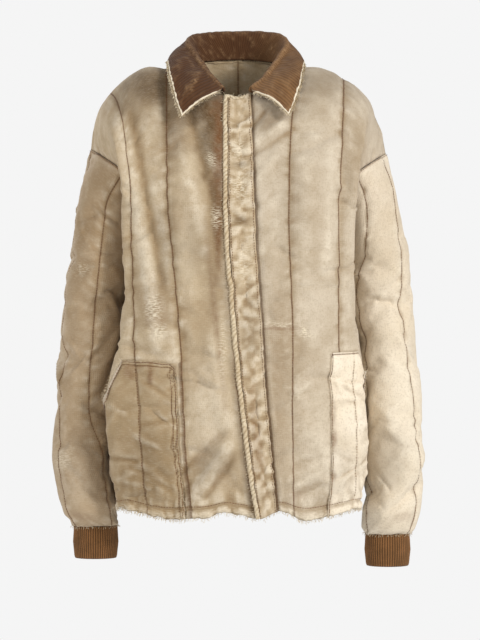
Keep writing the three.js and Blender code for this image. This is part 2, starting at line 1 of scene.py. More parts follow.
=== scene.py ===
import math
import bpy
import numpy as np
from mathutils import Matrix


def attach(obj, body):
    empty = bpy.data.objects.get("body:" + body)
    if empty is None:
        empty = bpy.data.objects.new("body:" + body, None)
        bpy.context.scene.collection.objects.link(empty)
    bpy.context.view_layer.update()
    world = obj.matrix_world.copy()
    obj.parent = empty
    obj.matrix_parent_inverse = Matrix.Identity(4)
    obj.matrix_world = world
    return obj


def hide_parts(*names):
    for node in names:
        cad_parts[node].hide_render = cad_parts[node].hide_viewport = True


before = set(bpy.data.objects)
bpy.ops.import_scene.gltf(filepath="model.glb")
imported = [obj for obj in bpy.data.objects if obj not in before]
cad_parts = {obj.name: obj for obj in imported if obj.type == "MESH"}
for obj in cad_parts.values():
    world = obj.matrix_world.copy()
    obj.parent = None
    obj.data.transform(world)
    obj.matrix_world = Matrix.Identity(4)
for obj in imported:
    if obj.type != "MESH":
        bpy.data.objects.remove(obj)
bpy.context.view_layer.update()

# Cotton duck, washed thin and sun-faded: a matt plain weave, paler and fluffy where it rubs, stained near the
# neck and rusty along old seams. Sunken cloth gets painted shade, and raised cloth is painted paler, partly
# as painted highlight.
# Real yarn is 0.7 mm; it is drawn at 1.6 mm.
def linear(colour):
    """An sRGB hex colour as linear RGBA."""
    parts = [int(colour[k:k + 2], 16) / 255 for k in (1, 3, 5)]
    return (*(c / 12.92 if c <= 0.04045 else ((c + 0.055) / 1.055) ** 2.4 for c in parts), 1)


def add_node(tree, kind, sockets=None, **settings):
    """Adds a node. sockets gives each input, by name or number, a value or the output that feeds it."""
    new = tree.nodes.new(kind)
    for name, value in settings.items():
        setattr(new, name, value)
    for key, value in (sockets or {}).items():
        if isinstance(value, bpy.types.NodeSocket):
            tree.links.new(value, new.inputs[key])
        else:
            new.inputs[key].default_value = value
    return new


def new_material(name, roughness, sheen=0.0):
    """A material with a matt cloth shader, its tree and the shader node."""
    material = bpy.data.materials.new(name)
    material.use_nodes = True
    tree = material.node_tree
    shader = tree.nodes["Principled BSDF"]
    shader.inputs["Roughness"].default_value = roughness
    shader.inputs["Specular IOR Level"].default_value = 0.15
    shader.inputs["Sheen Weight"].default_value = sheen
    shader.inputs["Sheen Roughness"].default_value = 0.6
    return material, tree, shader


def layered(tree, base, layers):
    """Lays colours over a base one after another, each by its share, and returns the result."""
    colour = linear(base)
    for share, over in layers:
        sockets = {0: share, 6: colour, 7: linear(over)}
        colour = add_node(tree, "ShaderNodeMix", sockets, data_type="RGBA").outputs[2]
    return colour


def spread(tree, value, low, high, top=1.0):
    """Stretches the range low to high of a value to 0 to top, and cuts off what lies beyond."""
    sockets = {"Value": value, "From Min": low, "From Max": high, "To Max": top}
    return add_node(tree, "ShaderNodeMapRange", sockets).outputs[0]


def noise(tree, place, scale, detail):
    sockets = {"Vector": place, "Scale": scale, "Detail": detail}
    return add_node(tree, "ShaderNodeTexNoise", sockets).outputs[0]


def stripes(tree, place, scale, distortion, direction="X"):
    sockets = {"Vector": place, "Scale": scale, "Distortion": distortion}
    return add_node(tree, "ShaderNodeTexWave", sockets, bands_direction=direction).outputs[1]


def combine(tree, operation, first, second):
    return add_node(tree, "ShaderNodeMath", {0: first, 1: second}, operation=operation).outputs[0]


def read_marks(tree, names):
    """The marks that a mesh carries, by name."""
    return {name: add_node(tree, "ShaderNodeAttribute", attribute_name=name).outputs["Fac"] for name in names}


def finish_cloth(tree, shader, colour, height, strength, distance):
    """Gives the shader its colour and a bump from the height."""
    tree.links.new(colour, shader.inputs["Base Color"])
    bump = add_node(tree, "ShaderNodeBump", {"Height": height, "Strength": strength, "Distance": distance})
    tree.links.new(bump.outputs[0], shader.inputs["Normal"])


def duck_cloth(name, light, deep, pale="#efe3cd"):
    material, tree, shader = new_material("washed cotton duck, " + name, 0.93, 0.12)
    chart = add_node(tree, "ShaderNodeTexCoord").outputs
    slub_map = add_node(tree, "ShaderNodeMapping", {"Vector": chart["UV"], "Scale": (130, 620, 1)})
    slubs = noise(tree, slub_map.outputs[0], 1.0, 3.0)
    fluff = noise(tree, chart["Object"], 330.0, 4.0)
    cloud = noise(tree, chart["Object"], 17.0, 5.0)
    fleck = noise(tree, chart["Object"], 95.0, 5.0)
    mark = read_marks(tree, ("ridge", "hollow", "stain_and_shadow", "rust", "worn", "seam"))
    line = spread(tree, mark["seam"], 0.66, 0.94, 0.75)

    def broken(value, pattern, low, high):
        return combine(tree, "MULTIPLY", value, spread(tree, pattern, low, high))
    colour = layered(tree, light, [
        (spread(tree, cloud, 0.3, 0.76), deep),
        # Painted shade: darker on sunken cloth, in creases and furrows, and in shaded patches
        (broken(mark["hollow"], fleck, -0.4, 0.9), "#8d7350"),
        # Paler on raised cloth: partly rubbed wear, partly painted highlight; the painted light patches come
        # in here too
        (broken(mark["ridge"], fleck, 0.1, 1.1), pale),
        # Stains; on the fronts this mark also carries the painted shadow beside the flap
        (broken(mark["stain_and_shadow"], cloud, 0.0, 0.45), "#523a1b"),
        (broken(mark["rust"], fleck, 0.1, 0.62), "#6d4522"),
        (broken(mark["worn"], slubs, 0.46, 0.56), "#e9dcc2"),
        # Dark seam lines; on the fronts and the flap they also carry painted shadow lines beside the flap and
        # the pockets' inner edges
        (broken(line, fluff, 0.0, 0.5), "#5b3b1e"),
        (spread(tree, slubs, 0.5, 0.75, 0.14), pale),
        (spread(tree, fleck, 0.56, 0.76, 0.22), deep),
        (spread(tree, fluff, 0.5, 0.66, 0.24), "#968060"),
    ])
    warp = stripes(tree, chart["UV"], 98.0, 1.5)
    weft = stripes(tree, chart["UV"], 98.0, 1.5, "Y")
    weave = combine(tree, "MULTIPLY", warp, weft)
    rough = combine(tree, "ADD", weave, combine(tree, "MULTIPLY", fluff, 1.6))
    finish_cloth(tree, shader, colour, rough, 0.5, 0.0006)
    return material

# Padded body. Two fronts and a back of faded cotton duck over thin wadding, each in one length from hem
# to shoulder and sewn through along long lines, so the cloth swells between the lines and puckers on them.
# Sizes are millimetres in the solids' frame, and become metres only where a mesh is made.
hem_level = -714
chest_level = -235
lower_rows = 16
upper_rows = 10
fine = 8
padded_cloth = 3
slack_share = 0.024
wadding_push = 1.4
most_settled = 8
settling_frames = 22
body_inside = np.array([0, 0, -400])


def mix(a, b, share):
    return a + (b - a) * share


def ramp(value, width=1):
    """Rises evenly from 0 to 1 as the value goes from 0 to width."""
    return np.clip(value / width, 0, 1)


def bell(value, width):
    return np.exp(-(value / width) ** 2)


def direction(vectors):
    """The vectors made one long."""
    return vectors / np.linalg.norm(vectors, axis=-1, keepdims=True)


def smooth_curve(marks, rows, spacing=None):
    """A curve through rows of numbers. marks says where each lies, spacing how far apart they count."""
    marks = np.asarray(marks, float)
    rows = np.asarray(rows, float)
    spacing = marks if spacing is None else np.asarray(spacing, float)
    rates = np.diff(rows, axis=0) / np.diff(spacing)[:, None]
    share = (np.diff(spacing)[:-1] / (spacing[2:] - spacing[:-2]))[:, None]
    slopes = np.vstack([rates[:1], mix(rates[:-1], rates[1:], share), rates[-1:]])

    def at(place):
        place = np.asarray(place, float)
        span = np.clip(np.searchsorted(marks, place) - 1, 0, len(marks) - 2)
        t = ((place - marks[span]) / (marks[span + 1] - marks[span]))[..., None]
        width = (spacing[span + 1] - spacing[span])[..., None]
        start = 1 - t * t * (3 - 2 * t)
        bend = slopes[span] * t * (1 - t) ** 2 - slopes[span + 1] * t * t * (1 - t)
        return rows[span] * start + rows[span + 1] * (1 - start) + bend * width
    return at


def curve_through(marks, points):
    """The same through points in space, where close points turn the curve no more than far ones do."""
    steps = np.sqrt(np.linalg.norm(np.diff(points, axis=0), axis=1))
    return smooth_curve(marks, points, np.concatenate([[0], np.cumsum(steps)]))


def table_curve(rows):
    rows = np.asarray(rows, float)
    return smooth_curve(rows[:, 0], rows[:, 1:])


def point_curve(rows):
    rows = np.asarray(rows, float)
    return curve_through(rows[:, 0], rows[:, 1:])


# Level sections, hem to chest. right and left are the wearer's. Columns: level, front, back, backCorner,
# centre, sideR, cornerR, outerR, innerR, sideL, cornerL, outerL, innerL
sections = [
    [-714, -141, 128, 194, 49, -193, -187, -144, -72, 192, 190, 157, 89],
    [-650, -153, 137, 203, 41, -197, -196, -149, -80, 195, 194, 160, 87],
    [-590, -156, 138, 206, 34, -196, -200, -153, -84, 194, 193, 160, 86],
    [-530, -154, 135, 203, 27, -193, -203, -156, -87, 191, 190, 159, 86],
    [-470, -150, 131, 192, 21, -184, -190, -164, -90, 184, 189, 160, 86],
    [-410, -149, 130, 184, 16, -174, -178, -166, -94, 174, 181, 160, 86],
    [-350, -149, 132, 178, 11, -163, -178, -167, -99, 163, 181, 160, 84],
    [-295, -146, 133, 174, 7, -154, -181, -169, -106, 155, 183, 161, 82],
    [-262, -143, 132, 173, 6, -152, -182, -170, -109, 153, 186, 162, 81],
    [-235, -140, 130, 174, 5, -160, -182, -171, -112, 161, 189, 163, 81],
]
section_at = table_curve(sections)


def half_section(level, side, behind):
    """Half a level section by station: 0 centre, 1 and 2 seams, 3 corner, 4 underarm, 5 side."""
    front, back, back_corner, centre, *sides = section_at(level)
    edge, front_corner, front_outer, front_inner = sides[:4] if side < 0 else sides[4:]
    reach = back if behind else front
    corner = side * back_corner if behind else front_corner
    middle = 0 if behind else centre
    inner = corner * 0.42 if behind else front_inner
    outer = corner * 0.8 if behind else front_outer

    def depth(x):
        return reach * mix(1, 0.66, abs((x - middle) / (corner - middle)) ** 2.4)
    return curve_through(range(6), [
        [middle, reach, level],
        [inner, depth(inner), level],
        [outer, depth(outer), level],
        [corner, reach * 0.66, level],
        [mix(corner, edge, 0.8), reach * 0.36, level],
        [edge, 2, level],
    ])


# Edges of the upper panels, as station or share of the edge, then x, y, z
front_neck = {
    -1: [[0, 2, -92, -57], [0.2, -27, -90, -51], [0.4, -58, -68, -36], [0.6, -78, -32, -12],
         [0.8, -84, 8, 12]],
    1: [[0, 2, -92, -57], [0.2, 24, -90, -50], [0.4, 55, -68, -36], [0.6, 76, -32, -12], [0.8, 82, 8, 10]],
}
back_neck = {
    -1: [[0, 0, 78, 24], [0.2, -24, 76, 23], [0.4, -50, 63, 20], [0.6, -72, 40, 16], [0.8, -84, 8, 12]],
    1: [[0, 0, 78, 24], [0.2, 24, 76, 23], [0.4, 49, 63, 19], [0.6, 70, 40, 15], [0.8, 82, 8, 10]],
}
shoulder = {
    -1: [
        [0.8, -84, 8, 12], [1, -119, 6, 3], [1.3, -153, 5, 2], [1.65, -186, 5, -17], [2, -210, 5, -40],
        [3, -228, 5, -66], [4, -239, 5, -99], [5, -243, 5, -131],
    ],
    1: [
        [0.8, 82, 8, 10], [1, 107, 6, 3], [1.4, 136, 5, 1], [2, 172, 5, -15], [2.5, 197, 5, -33],
        [3, 214, 5, -51], [3.5, 226, 5, -76], [4, 237, 5, -104], [5, 244, 5, -138],
    ],
}
armhole_front = {
    -1: [[0, -160, 2, -235], [0.25, -170, -48, -212], [0.5, -185, -80, -174], [0.75, -216, -52, -149],
         [1, -243, 5, -131]],
    1: [[0, 161, 2, -235], [0.25, 172, -48, -214], [0.5, 192, -78, -176], [0.75, 219, -50, -155],
        [1, 244, 5, -138]],
}
armhole_back = {
    -1: [[0, -160, 2, -235], [0.25, -170, 52, -210], [0.5, -187, 86, -172], [0.75, -217, 56, -147],
         [1, -243, 5, -131]],
    1: [[0, 161, 2, -235], [0.25, 171, 52, -212], [0.5, 189, 86, -175], [0.75, 219, 56, -152],
        [1, 244, 5, -138]],
}
centre_pull = table_curve([[0, 1], [1, 0.4], [2, 0.1], [3, 0.05], [4, 0.02], [5, 0]])
armhole_pull = table_curve([[0, 0], [1, 0.02], [2, 0.25], [3, 0.45], [4, 0.72], [5, 1]])

row_marks = np.arange((lower_rows + upper_rows) * fine + 1) / fine
levels = mix(hem_level, chest_level, row_marks / lower_rows)
rises = ramp(row_marks - lower_rows, upper_rows)


def spaced(stations, counts):
    """Stations with a number of equal steps in each stretch between the given ones."""
    parts = [np.linspace(a, b, n, endpoint=False) for a, b, n in zip(stations, stations[1:], counts)]
    return np.concatenate(parts + [stations[-1:]])


# Steps between the stations. The inner lines of stitching lie where the first stretches end.
front_steps = [30, 16, 6, 26]
back_steps = [20, 18, 12, 28]
front_stations = spaced([0, 1, 2, 3, 5], front_steps)
back_stations = spaced([0, 1, 2, 3, 5], back_steps)
front_seams = [front_steps[0], sum(front_steps[:2])]
back_middle = sum(back_steps)
back_seams = [back_middle + side * sum(back_steps[:count]) for side in (-1, 1) for count in (1, 2, 3)]


def body_grid(side, behind, stations):
    """Half of the body's outer face on its stitch lines, as rows of points from the hem to the shoulder."""
    lower = [half_section(level, side, behind)(stations) for level in levels[rises == 0]]
    bottom = half_section(chest_level, side, behind)
    neck = point_curve((back_neck if behind else front_neck)[side])
    ridge = point_curve(shoulder[side])
    top = np.where((stations <= 0.8)[:, None], neck(stations), ridge(stations))
    turn = rises[rises > 0][:, None] * math.pi / 2
    shares = np.stack([np.cos(turn), np.cos(turn), 1 - np.sin(turn)], axis=-1)

    def arc(high, low):
        return mix(high, low, shares)
    upper = arc(top, bottom(stations))
    middle = mix(bottom(0), neck(0), np.sin(turn)[..., None])
    armhole = point_curve((armhole_back if behind else armhole_front)[side])(rises[rises > 0])
    upper = upper + (middle - arc(neck(0), bottom(0))) * centre_pull(stations)
    upper = upper + (armhole[:, None] - arc(ridge(5), bottom(5))) * armhole_pull(stations)
    return np.concatenate([np.array(lower), upper])


def soft_noise(u, v, size, seed):
    """Smooth random values from -1 to 1 over a surface, with bumps of about size."""
    lattice = np.random.default_rng(seed).uniform(-1, 1, (61, 67))
    i = np.floor(u / size).astype(int)
    j = np.floor(v / size).astype(int)
    s = u / size - i
    t = v / size - j
    s = s * s * (3 - 2 * s)
    t = t * t * (3 - 2 * t)
    corners = [lattice[(i + a) % 61, (j + b) % 67] for a, b in ((0, 0), (1, 0), (0, 1), (1, 1))]
    return mix(mix(corners[0], corners[1], s), mix(corners[2], corners[3], s), t)


def rumple(u, v, large, small, seed):
    """Smooth random bumps, large ones with small ones on them. Each kind is its height and its size."""
    return large[0] * soft_noise(u, v, large[1], seed) + small[0] * soft_noise(u, v, small[1], seed + 1)


def fold_lift(across, along, folds):
    """Soft ridges and troughs. Rows: from across, from along, to across, to along, width, height."""
    lift = np.zeros(across.shape)
    for from_x, from_z, to_x, to_z, width, height in folds:
        run = math.hypot(to_x - from_x, to_z - from_z)
        ahead = ((across - from_x) * (to_x - from_x) + (along - from_z) * (to_z - from_z)) / run
        aside = ((across - from_x) * (to_z - from_z) - (along - from_z) * (to_x - from_x)) / run
        past = np.maximum(np.maximum(-ahead, ahead - run), 0)
        lift += height * np.exp(-(aside / width) ** 2 - (past / (1.6 * width)) ** 2)
    return lift


def small_creases(box, count, lean, seed):
    """Short uneven creases spread over a box of across and along, lying within lean degrees of level."""
    pick = np.random.default_rng(seed)
    folds = []
    for _ in range(count):
        x, z = pick.uniform(box[0], box[1]), pick.uniform(box[2], box[3])
        reach = pick.uniform(8, 30)
        angle = math.radians(pick.uniform(-lean, lean))
        dx, dz = reach * math.cos(angle), reach * math.sin(angle)
        folds.append([x - dx, z - dz, x + dx, z + dz, pick.uniform(3, 7), pick.normal(0, 1.6)])
    return folds


front_folds = [
    [-100, -90, -24, -250, 20, -5], [-60, -80, -8, -200, 18, 4], [-134, -230, -122, -420, 24, 4],
    [-40, -300, -62, -470, 26, -5], [-6, -560, -58, -690, 20, 6], [-34, -600, -96, -700, 18, -5],
    [60, -120, 48, -330, 22, -2], [122, -120, 112, -420, 28, 5], [96, -520, 140, -640, 20, 6],
    [70, -600, 120, -700, 18, -5],
    # sharper ones: the hollow beside the placket, the drag from the neck, and folds above the hem
    [-96, -110, -52, -300, 14, 4.5], [-74, -96, -34, -232, 9, -5], [-86, -440, -84, -540, 8, -3],
    [-44, -440, -24, -560, 12, 4], [-26, -596, -88, -652, 7, -6], [-18, -618, -62, -672, 8, 5],
    [-14, -640, -50, -690, 6, -5], [96, -672, 122, -656, 5, 4.5], [100, -684, 128, -672, 5, -4],
    [24, -104, 40, -83, 5, -6], [30, -126, 70, -100, 8, 4.5], [34, -146, 76, -118, 7, -3.5],
    [32, -190, 56, -158, 7, 2.5], [34, -232, 54, -216, 5, -2], [38, -300, 60, -262, 7, 2],
    [88, -524, 112, -512, 6, 2.5],
    [86, -540, 118, -570, 9, -2.5], [84, -664, 112, -646, 6, 3], [92, -640, 124, -630, 6, -2.5],
    [104, -426, 96, -470, 7, -2], [-140, -380, -130, -450, 9, 2.5], [-189, -100, -139, -370, 13, 7],
    [-168, -96, -120, -350, 9, -5.5], [150, -150, 138, -330, 12, 3.5], [172, -190, 160, -330, 9, -3],
]
back_folds = [
    [-120, -150, -70, -420, 28, 6], [110, -170, 82, -400, 26, 5], [-30, -220, 10, -520, 30, -5],
    [50, -480, 110, -690, 22, 6], [-80, -500, -130, -690, 24, 6],
    # across the shoulder blades, and drags from the underarms
    [-150, -190, -90, -250, 12, 4], [150, -200, 96, -262, 12, 4], [-60, -110, 66, -122, 14, -3],
    [-110, -300, -60, -330, 9, 3], [70, -360, 128, -330, 9, 3], [-40, -560, 20, -600, 10, 3],
    [16, -640, 70, -610, 9, -3], [-160, -440, -150, -640, 14, 4], [158, -420, 150, -600, 14, 4],
]


def edge_lengths(grid, axis):
    """Distance along a grid from its first row or column, in mm."""
    steps = np.linalg.norm(np.diff(grid, axis=axis), axis=2)
    start = np.zeros_like(steps.take([0], axis=axis))
    return np.concatenate([start, np.cumsum(steps, axis=axis)], axis=axis)


def outward(grid, inside=body_inside, wrapped=False):
    """The direction out of the cloth at each point of a grid."""
    if wrapped:
        across = np.roll(grid, -1, axis=1) - np.roll(grid, 1, axis=1)
    else:
        across = np.gradient(grid, axis=1)
    normal = direction(np.cross(across, np.gradient(grid, axis=0)))
    facing = np.sum(normal * (grid - inside), axis=2).mean()
    return normal * np.sign(facing)


def new_object(name, data):
    """An object of the scene with the given mesh, lamp or camera."""
    made = bpy.data.objects.new(name, data)
    bpy.context.scene.collection.objects.link(made)
    return made


def settle(name, grid, held, inside=body_inside, wrapped=False):
    """Lets slack cloth buckle between its lines of stitching, and returns how far each point moved out."""
    coarse = grid[::2, ::2]
    pinned = held[::2, ::2].ravel()
    slack = new_object(name, grid_mesh(name, coarse, wrapped, inside))
    group = slack.vertex_groups.new(name="sewn")
    for weight in (1.0, 0.25):
        group.add(np.flatnonzero(np.isclose(pinned, weight)).tolist(), weight, "REPLACE")
    cloth = slack.modifiers.new("cloth", "CLOTH")
    cloth.settings.quality = 5
    cloth.settings.mass = 0.2
    cloth.settings.tension_stiffness = 20
    cloth.settings.compression_stiffness = 20
    cloth.settings.shear_stiffness = 10
    cloth.settings.bending_stiffness = 1.5
    cloth.settings.vertex_group_mass = "sewn"
    cloth.settings.shrink_min = -slack_share
    cloth.settings.use_pressure = True
    cloth.settings.uniform_pressure_force = wadding_push
    cloth.settings.effector_weights.gravity = 0
    scene = bpy.context.scene
    cloth.point_cache.frame_start = 1
    cloth.point_cache.frame_end = settling_frames + 3
    for step in range(settling_frames):
        scene.frame_set(step + 1)
    moved = slack.evaluated_get(bpy.context.evaluated_depsgraph_get()).data
    places = np.empty(len(moved.vertices) * 3)
    moved.vertices.foreach_get("co", places)
    scene.frame_set(1)
    bpy.data.objects.remove(slack)
    shift = places.reshape(coarse.shape) * 1000 - coarse
    length = np.linalg.norm(shift, axis=2, keepdims=True)
    shift *= np.minimum(1, most_settled / np.maximum(length, 1e-6))
    if wrapped:
        shift = np.concatenate([shift, shift[:, :1]], axis=1)
    rows = smooth_curve(range(shift.shape[0]), shift.reshape(shift.shape[0], -1))
    shift = rows(np.arange(grid.shape[0]) / 2).reshape(grid.shape[0], -1, 3).transpose(1, 0, 2)
    columns = smooth_curve(range(shift.shape[0]), shift.reshape(shift.shape[0], -1))
    return columns(np.arange(grid.shape[1]) / 2).reshape(grid.shape[1], -1, 3).transpose(1, 0, 2)


def grid_mesh(name, grid, wrapped, inside, u=None, v=None, marks=None):
    """A one-sided cloth through a grid of points, with its lengths in metres as UV map and its marks."""
    rows, columns = grid.shape[:2]
    index = np.arange(rows * columns).reshape(rows, columns)
    if wrapped:
        index = np.hstack([index, index[:, :1]])
    corners = [index[:-1, :-1], index[:-1, 1:], index[1:, 1:], index[1:, :-1]]
    across = np.cross(grid[1, 1] - grid[1, 0], grid[2, 0] - grid[1, 0])
    outside = grid[1, 0] - (inside[1, 0] if np.ndim(inside) > 1 else inside)
    order = [0, 1, 2, 3] if across @ outside > 0 else [3, 2, 1, 0]
    quads = np.stack([corners[k] for k in order], axis=-1).reshape(-1, 4)
    mesh = bpy.data.meshes.new(name)
    mesh.from_pydata((grid.reshape(-1, 3) / 1000).tolist(), [], quads.tolist())
    if u is not None:
        places = np.stack([u, v], axis=-1) / 1000
        spans = [(slice(-1), slice(-1)), (slice(-1), slice(1, None)),
                 (slice(1, None), slice(1, None)), (slice(1, None), slice(-1))]
        chart = np.stack([places[spans[k]] for k in order], axis=2)
        layer = mesh.uv_layers.new(name="cloth")
        layer.data.foreach_set("uv", chart.ravel())
    for mark, values in (marks or {}).items():
        layer = mesh.attributes.new(mark, "FLOAT", "POINT")
        layer.data.foreach_set("value", np.ascontiguousarray(values, dtype=np.float32).ravel())
    mesh.shade_smooth()
    return mesh


def cloth_piece(node, grid, material, thickness, slot, inside=body_inside, wrapped=False, **chart):
    """A cloth wall on a grid, standing for the CAD node and named after it."""
    name = node + "_cloth"
    piece = new_object(name, grid_mesh(name, grid, wrapped, inside, **chart))
    piece.data.materials.append(material)
    wall = piece.modifiers.new("wall", "SOLIDIFY")
    wall.thickness = thickness / 1000
    wall.offset = -1
    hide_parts(node)
    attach(piece, "root")
    return piece


def stitched(u, v, lines, seed, puff=1.8, ripple=1.5, loop=None):
    """How far padded cloth stands off its stitching, and how near each point is to a line of it."""
    away = np.full(u.shape, 1e3)
    pucker = np.zeros(u.shape)
    for number, line in enumerate(lines):
        gap = u - line[:, None]
        if loop is not None:
            gap = (gap + loop / 2) % loop - loop / 2
        near = np.abs(gap)
        wave = soft_noise(v + 0.35 * near, np.sign(gap) * 40 + 500, 9, seed + number)
        wave = wave + 0.5 * soft_noise(v - 0.2 * near, np.sign(gap) * 40 + 500, 4.6, seed + 20 + number)
        pucker += ripple * wave * np.exp(-near / 9) * np.clip(near / 3, 0.15, 1)
        away = np.minimum(away, near)
    return puff * (1 - np.exp(-away / 4.5)) + pucker, away


def relief(lift, size=4):
    """Raised and sunken parts of a lifted surface, each 0 to 1, by comparing it with its own blur. The sunken
    parts become painted shade, the raised ones paler cloth that is partly painted highlight.
    """
    blur = lift.copy()
    for _ in range(size):
        padded = np.pad(blur, 2, mode="edge")
        blur = sum(padded[2 + a:2 + a + lift.shape[0], 2 + b:2 + b + lift.shape[1]]
                   for a, b in ((0, 0), (2, 0), (-2, 0), (0, 2), (0, -2))) / 5
    rise = lift - blur
    return ramp(rise, 1.1), ramp(-rise, 1.3)


def seam_mark(away):
    """1 on a line of stitching, falling evenly to 0 at 6 mm from it."""
    return ramp(1 - away / 6)


def patches(x, z, rows, seed):
    """Blotches with uneven edges, 0 to 1. Rows: x, z, half width, half height, lean in degrees, strength."""
    total = np.zeros(x.shape)
    ragged = 1 + 0.45 * soft_noise(x, z, 14, seed) + 0.25 * soft_noise(x, z, 6, seed + 1)
    for px, pz, wide, high, lean, strength in rows:
        turn = math.radians(lean)
        a = ((x - px) * math.cos(turn) + (z - pz) * math.sin(turn)) / wide
        b = ((z - pz) * math.cos(turn) - (x - px) * math.sin(turn)) / high
        total = np.maximum(total, strength * np.exp(-(a * a + b * b) ** 1.5 * ragged))
    return ramp(total)


flap_reach = table_curve([
    [-714, -16, 14], [-590, -19.5, 17], [-470, -20, 21], [-300, -21, 23], [-50, -20, 21],
])
# Tops of the pockets from the inner seam outwards, as station and level
pocket_tops = {
    -1: [[1.12, -482], [1.33, -481], [1.67, -480], [2, -479], [2.6, -478], [3, -532], [3.5, -548]],
    1: [[1.77, -466], [2, -465], [3, -463], [3.5, -496], [4, -530], [4.3, -540]],
}
gather_length = 9
hem_seam_height = 14
front_length_column = 20
back_length_column = 60
# Beside the flap a dark band of painted shadow is laid on the front: how far past the flap's reach it starts,
# and how wide it is
flap_shadow_start = {-1: 8, 1: 1.5}
flap_shadow_width = {-1: 12, 1: 4}
front_tones = {-1: ("#bfac8e", "#a89171"), 1: ("#c3b49e", "#ae9c82")}

# Marks on the fronts, which patches spreads: stains, painted shade, painted light, rust and wear
stain_places = [
    [-54, -76, 44, 30, 0, 1.0], [-38, -116, 26, 66, 0, 0.95], [-32, -230, 12, 80, 0, 0.7],
    [-128, -34, 66, 40, 0, 0.85], [-96, -56, 60, 34, 0, 0.6],
    [140, -30, 66, 26, 0, 0.3], [-104, -84, 26, 74, 0, 0.6], [40, -90, 22, 26, 0, 0.45],
    [-176, -60, 30, 46, 20, 0.45], [0, 20, 90, 30, 0, 0.5], [-60, -300, 30, 50, 0, 0.25],
    [84, -240, 22, 70, 0, 0.22], [-110, -300, 16, 90, 0, 0.3], [-40, -640, 40, 26, 20, 0.3],
]
# Painted shade: patches darkened where shade falls
shaded_places = [
    [-36, -240, 18, 190, 0, 0.75], [72, -540, 40, 210, 0, 0.85], [188, -160, 22, 64, 0, 0.6],
    [-60, -440, 20, 60, 0, 0.3], [122, -250, 14, 90, 0, 0.35], [-152, -180, 12, 110, 10, 0.4],
]
# Painted light: paler patches where light falls
painted_light_places = [
    [-44, -560, 34, 90, 0, 0.75], [116, -600, 50, 110, 0, 0.7], [-172, -200, 12, 120, 10, 0.6],
    [150, -260, 30, 120, 0, 0.4], [50, -200, 20, 90, 0, 0.3], [-80, -260, 16, 110, 0, 0.4],
    [126, -400, 30, 60, 0, 0.35], [64, -262, 18, 66, 0, 0.6],
]
rust_places = [
    [-31, -130, 8, 90, 0, 1.0], [-31, -260, 6, 80, 0, 0.8], [-30, -72, 16, 18, 0, 0.9],
    [-34, -420, 5, 130, 6, 0.45], [66, -425, 34, 4, 0, 0.6], [92, -690, 12, 8, 0, 0.3],
    [-131, -402, 17, 30, 8, 0.45], [-36, -200, 10, 16, 0, 0.5],
]
worn_places = [
    [-134, -395, 13, 20, 8, 0.9], [-126, -432, 14, 12, 0, 0.8], [-42, -158, 7, 12, 20, 0.8],
    [-34, -250, 8, 16, 10, 0.8], [106, -431, 7, 12, 30, 0.9], [66, -420, 26, 4, 0, 0.5],
    [94, -530, 9, 6, 20, 0.5], [-24, -460, 6, 50, 0, 0.5],
]


# How far the hem hangs below its level, across the front and across the back
hem_drop = table_curve([
    [-210, 0], [-180, 0], [-133, 12], [-70, 14], [-44, 11], [-28, 5], [3, 7], [36, 13], [59, 3], [71, 3],
    [97, 15], [112, 17], [141, 12], [169, 4], [198, 0], [210, 0],
])
back_drop = table_curve([[-210, 0], [-150, 7], [-90, 3], [-30, 9], [40, 4], [110, 9], [160, 5], [210, 0]])


def hem_gathers(u, v, seed):
    """Lift and sideways wander of the puckered hem, bunched by its one row of stitching."""
    lift = soft_noise(u, v * 0.15, gather_length, seed) + 0.7 * soft_noise(u, v * 0.2, 5, seed + 1)
    hem_line = np.abs(v - hem_seam_height)
    near = np.exp(-v / 30)
    lift = lift * 3.4 * near * np.clip(hem_line / 4, 0.15, 1) - 1.4 * bell(hem_line, 4)
    lift += 1.5 * bell(v - 5, 5)
    wander = 1.9 * soft_noise(u, 0 * u, 9, seed + 2) + 1.1 * soft_noise(u, 0 * u, 4.5, seed + 3)
    return lift, (wander * np.exp(-v / 9))[..., None] * np.array([0.25, 0.0, 1.0]), hem_line


def between_gathers(gathers):
    """Painted shade in the furrows of the puckered hem, 0 to 1."""
    return ramp(-gathers, 2.5)


def edge_fade(stations):
    """1 over the middle of a panel, falling to 0 towards its side and its shoulder, where folds end."""
    return ramp(5 - stations, 2)[None] * ramp(2.5 * (1 - rises))[:, None]


def hang_hem(grid, drop):
    z = grid[..., 2]
    grid[..., 2] = z - drop(grid[..., 0])[..., 0] * np.exp(-(z - hem_level) / 45)


def settled_panel(name, grid, seams):
    """A panel with its cloth settled: its edges and its hem are held, its inner seams only a little."""
    held = np.zeros(grid.shape[:2])
    held[:, seams] = 0.25
    held[:, [0, -1]] = 1
    held[:fine] = 1
    held[-1] = 1
    return grid + settle(name + "_slack", grid, held)


def even_lengths(grid, column):
    """Distance up a grid from its first row, in mm, as measured along one column."""
    v = edge_lengths(grid, 0)
    return np.broadcast_to(v[:, column:column + 1], v.shape)


def panel_lift(u, v, lines, seed, hem_seed):
    """How far a padded panel stands off its seams, how near they are, and its hem as hem_gathers has it."""
    lift, away = stitched(u, v, lines, seed)
    gathers, wander, hem_line = hem_gathers(u, v, hem_seed)
    lift = lift * ramp(v[-1] - v, 14) * (1 - 0.75 * bell(hem_line, 5)) + gathers
    lift += rumple(u, v, (0.5, 22), (0.25, 8), hem_seed + 2)
    return lift, away, gathers, wander, hem_line


def front_panel(side, name, seed):
    grid = body_grid(side, False, front_stations)
    beside_flap = ramp(edge_lengths(grid, 1) - 30, 28)
    folds = front_folds + small_creases((-200, 200, -700, -90), 150, 40, seed)
    lift = fold_lift(grid[..., 0], grid[..., 2], folds) * edge_fade(front_stations)
    grid[..., 1] -= lift * np.maximum(beside_flap, 0.15)
    hang_hem(grid, hem_drop)
    return settled_panel(name, grid, front_seams)


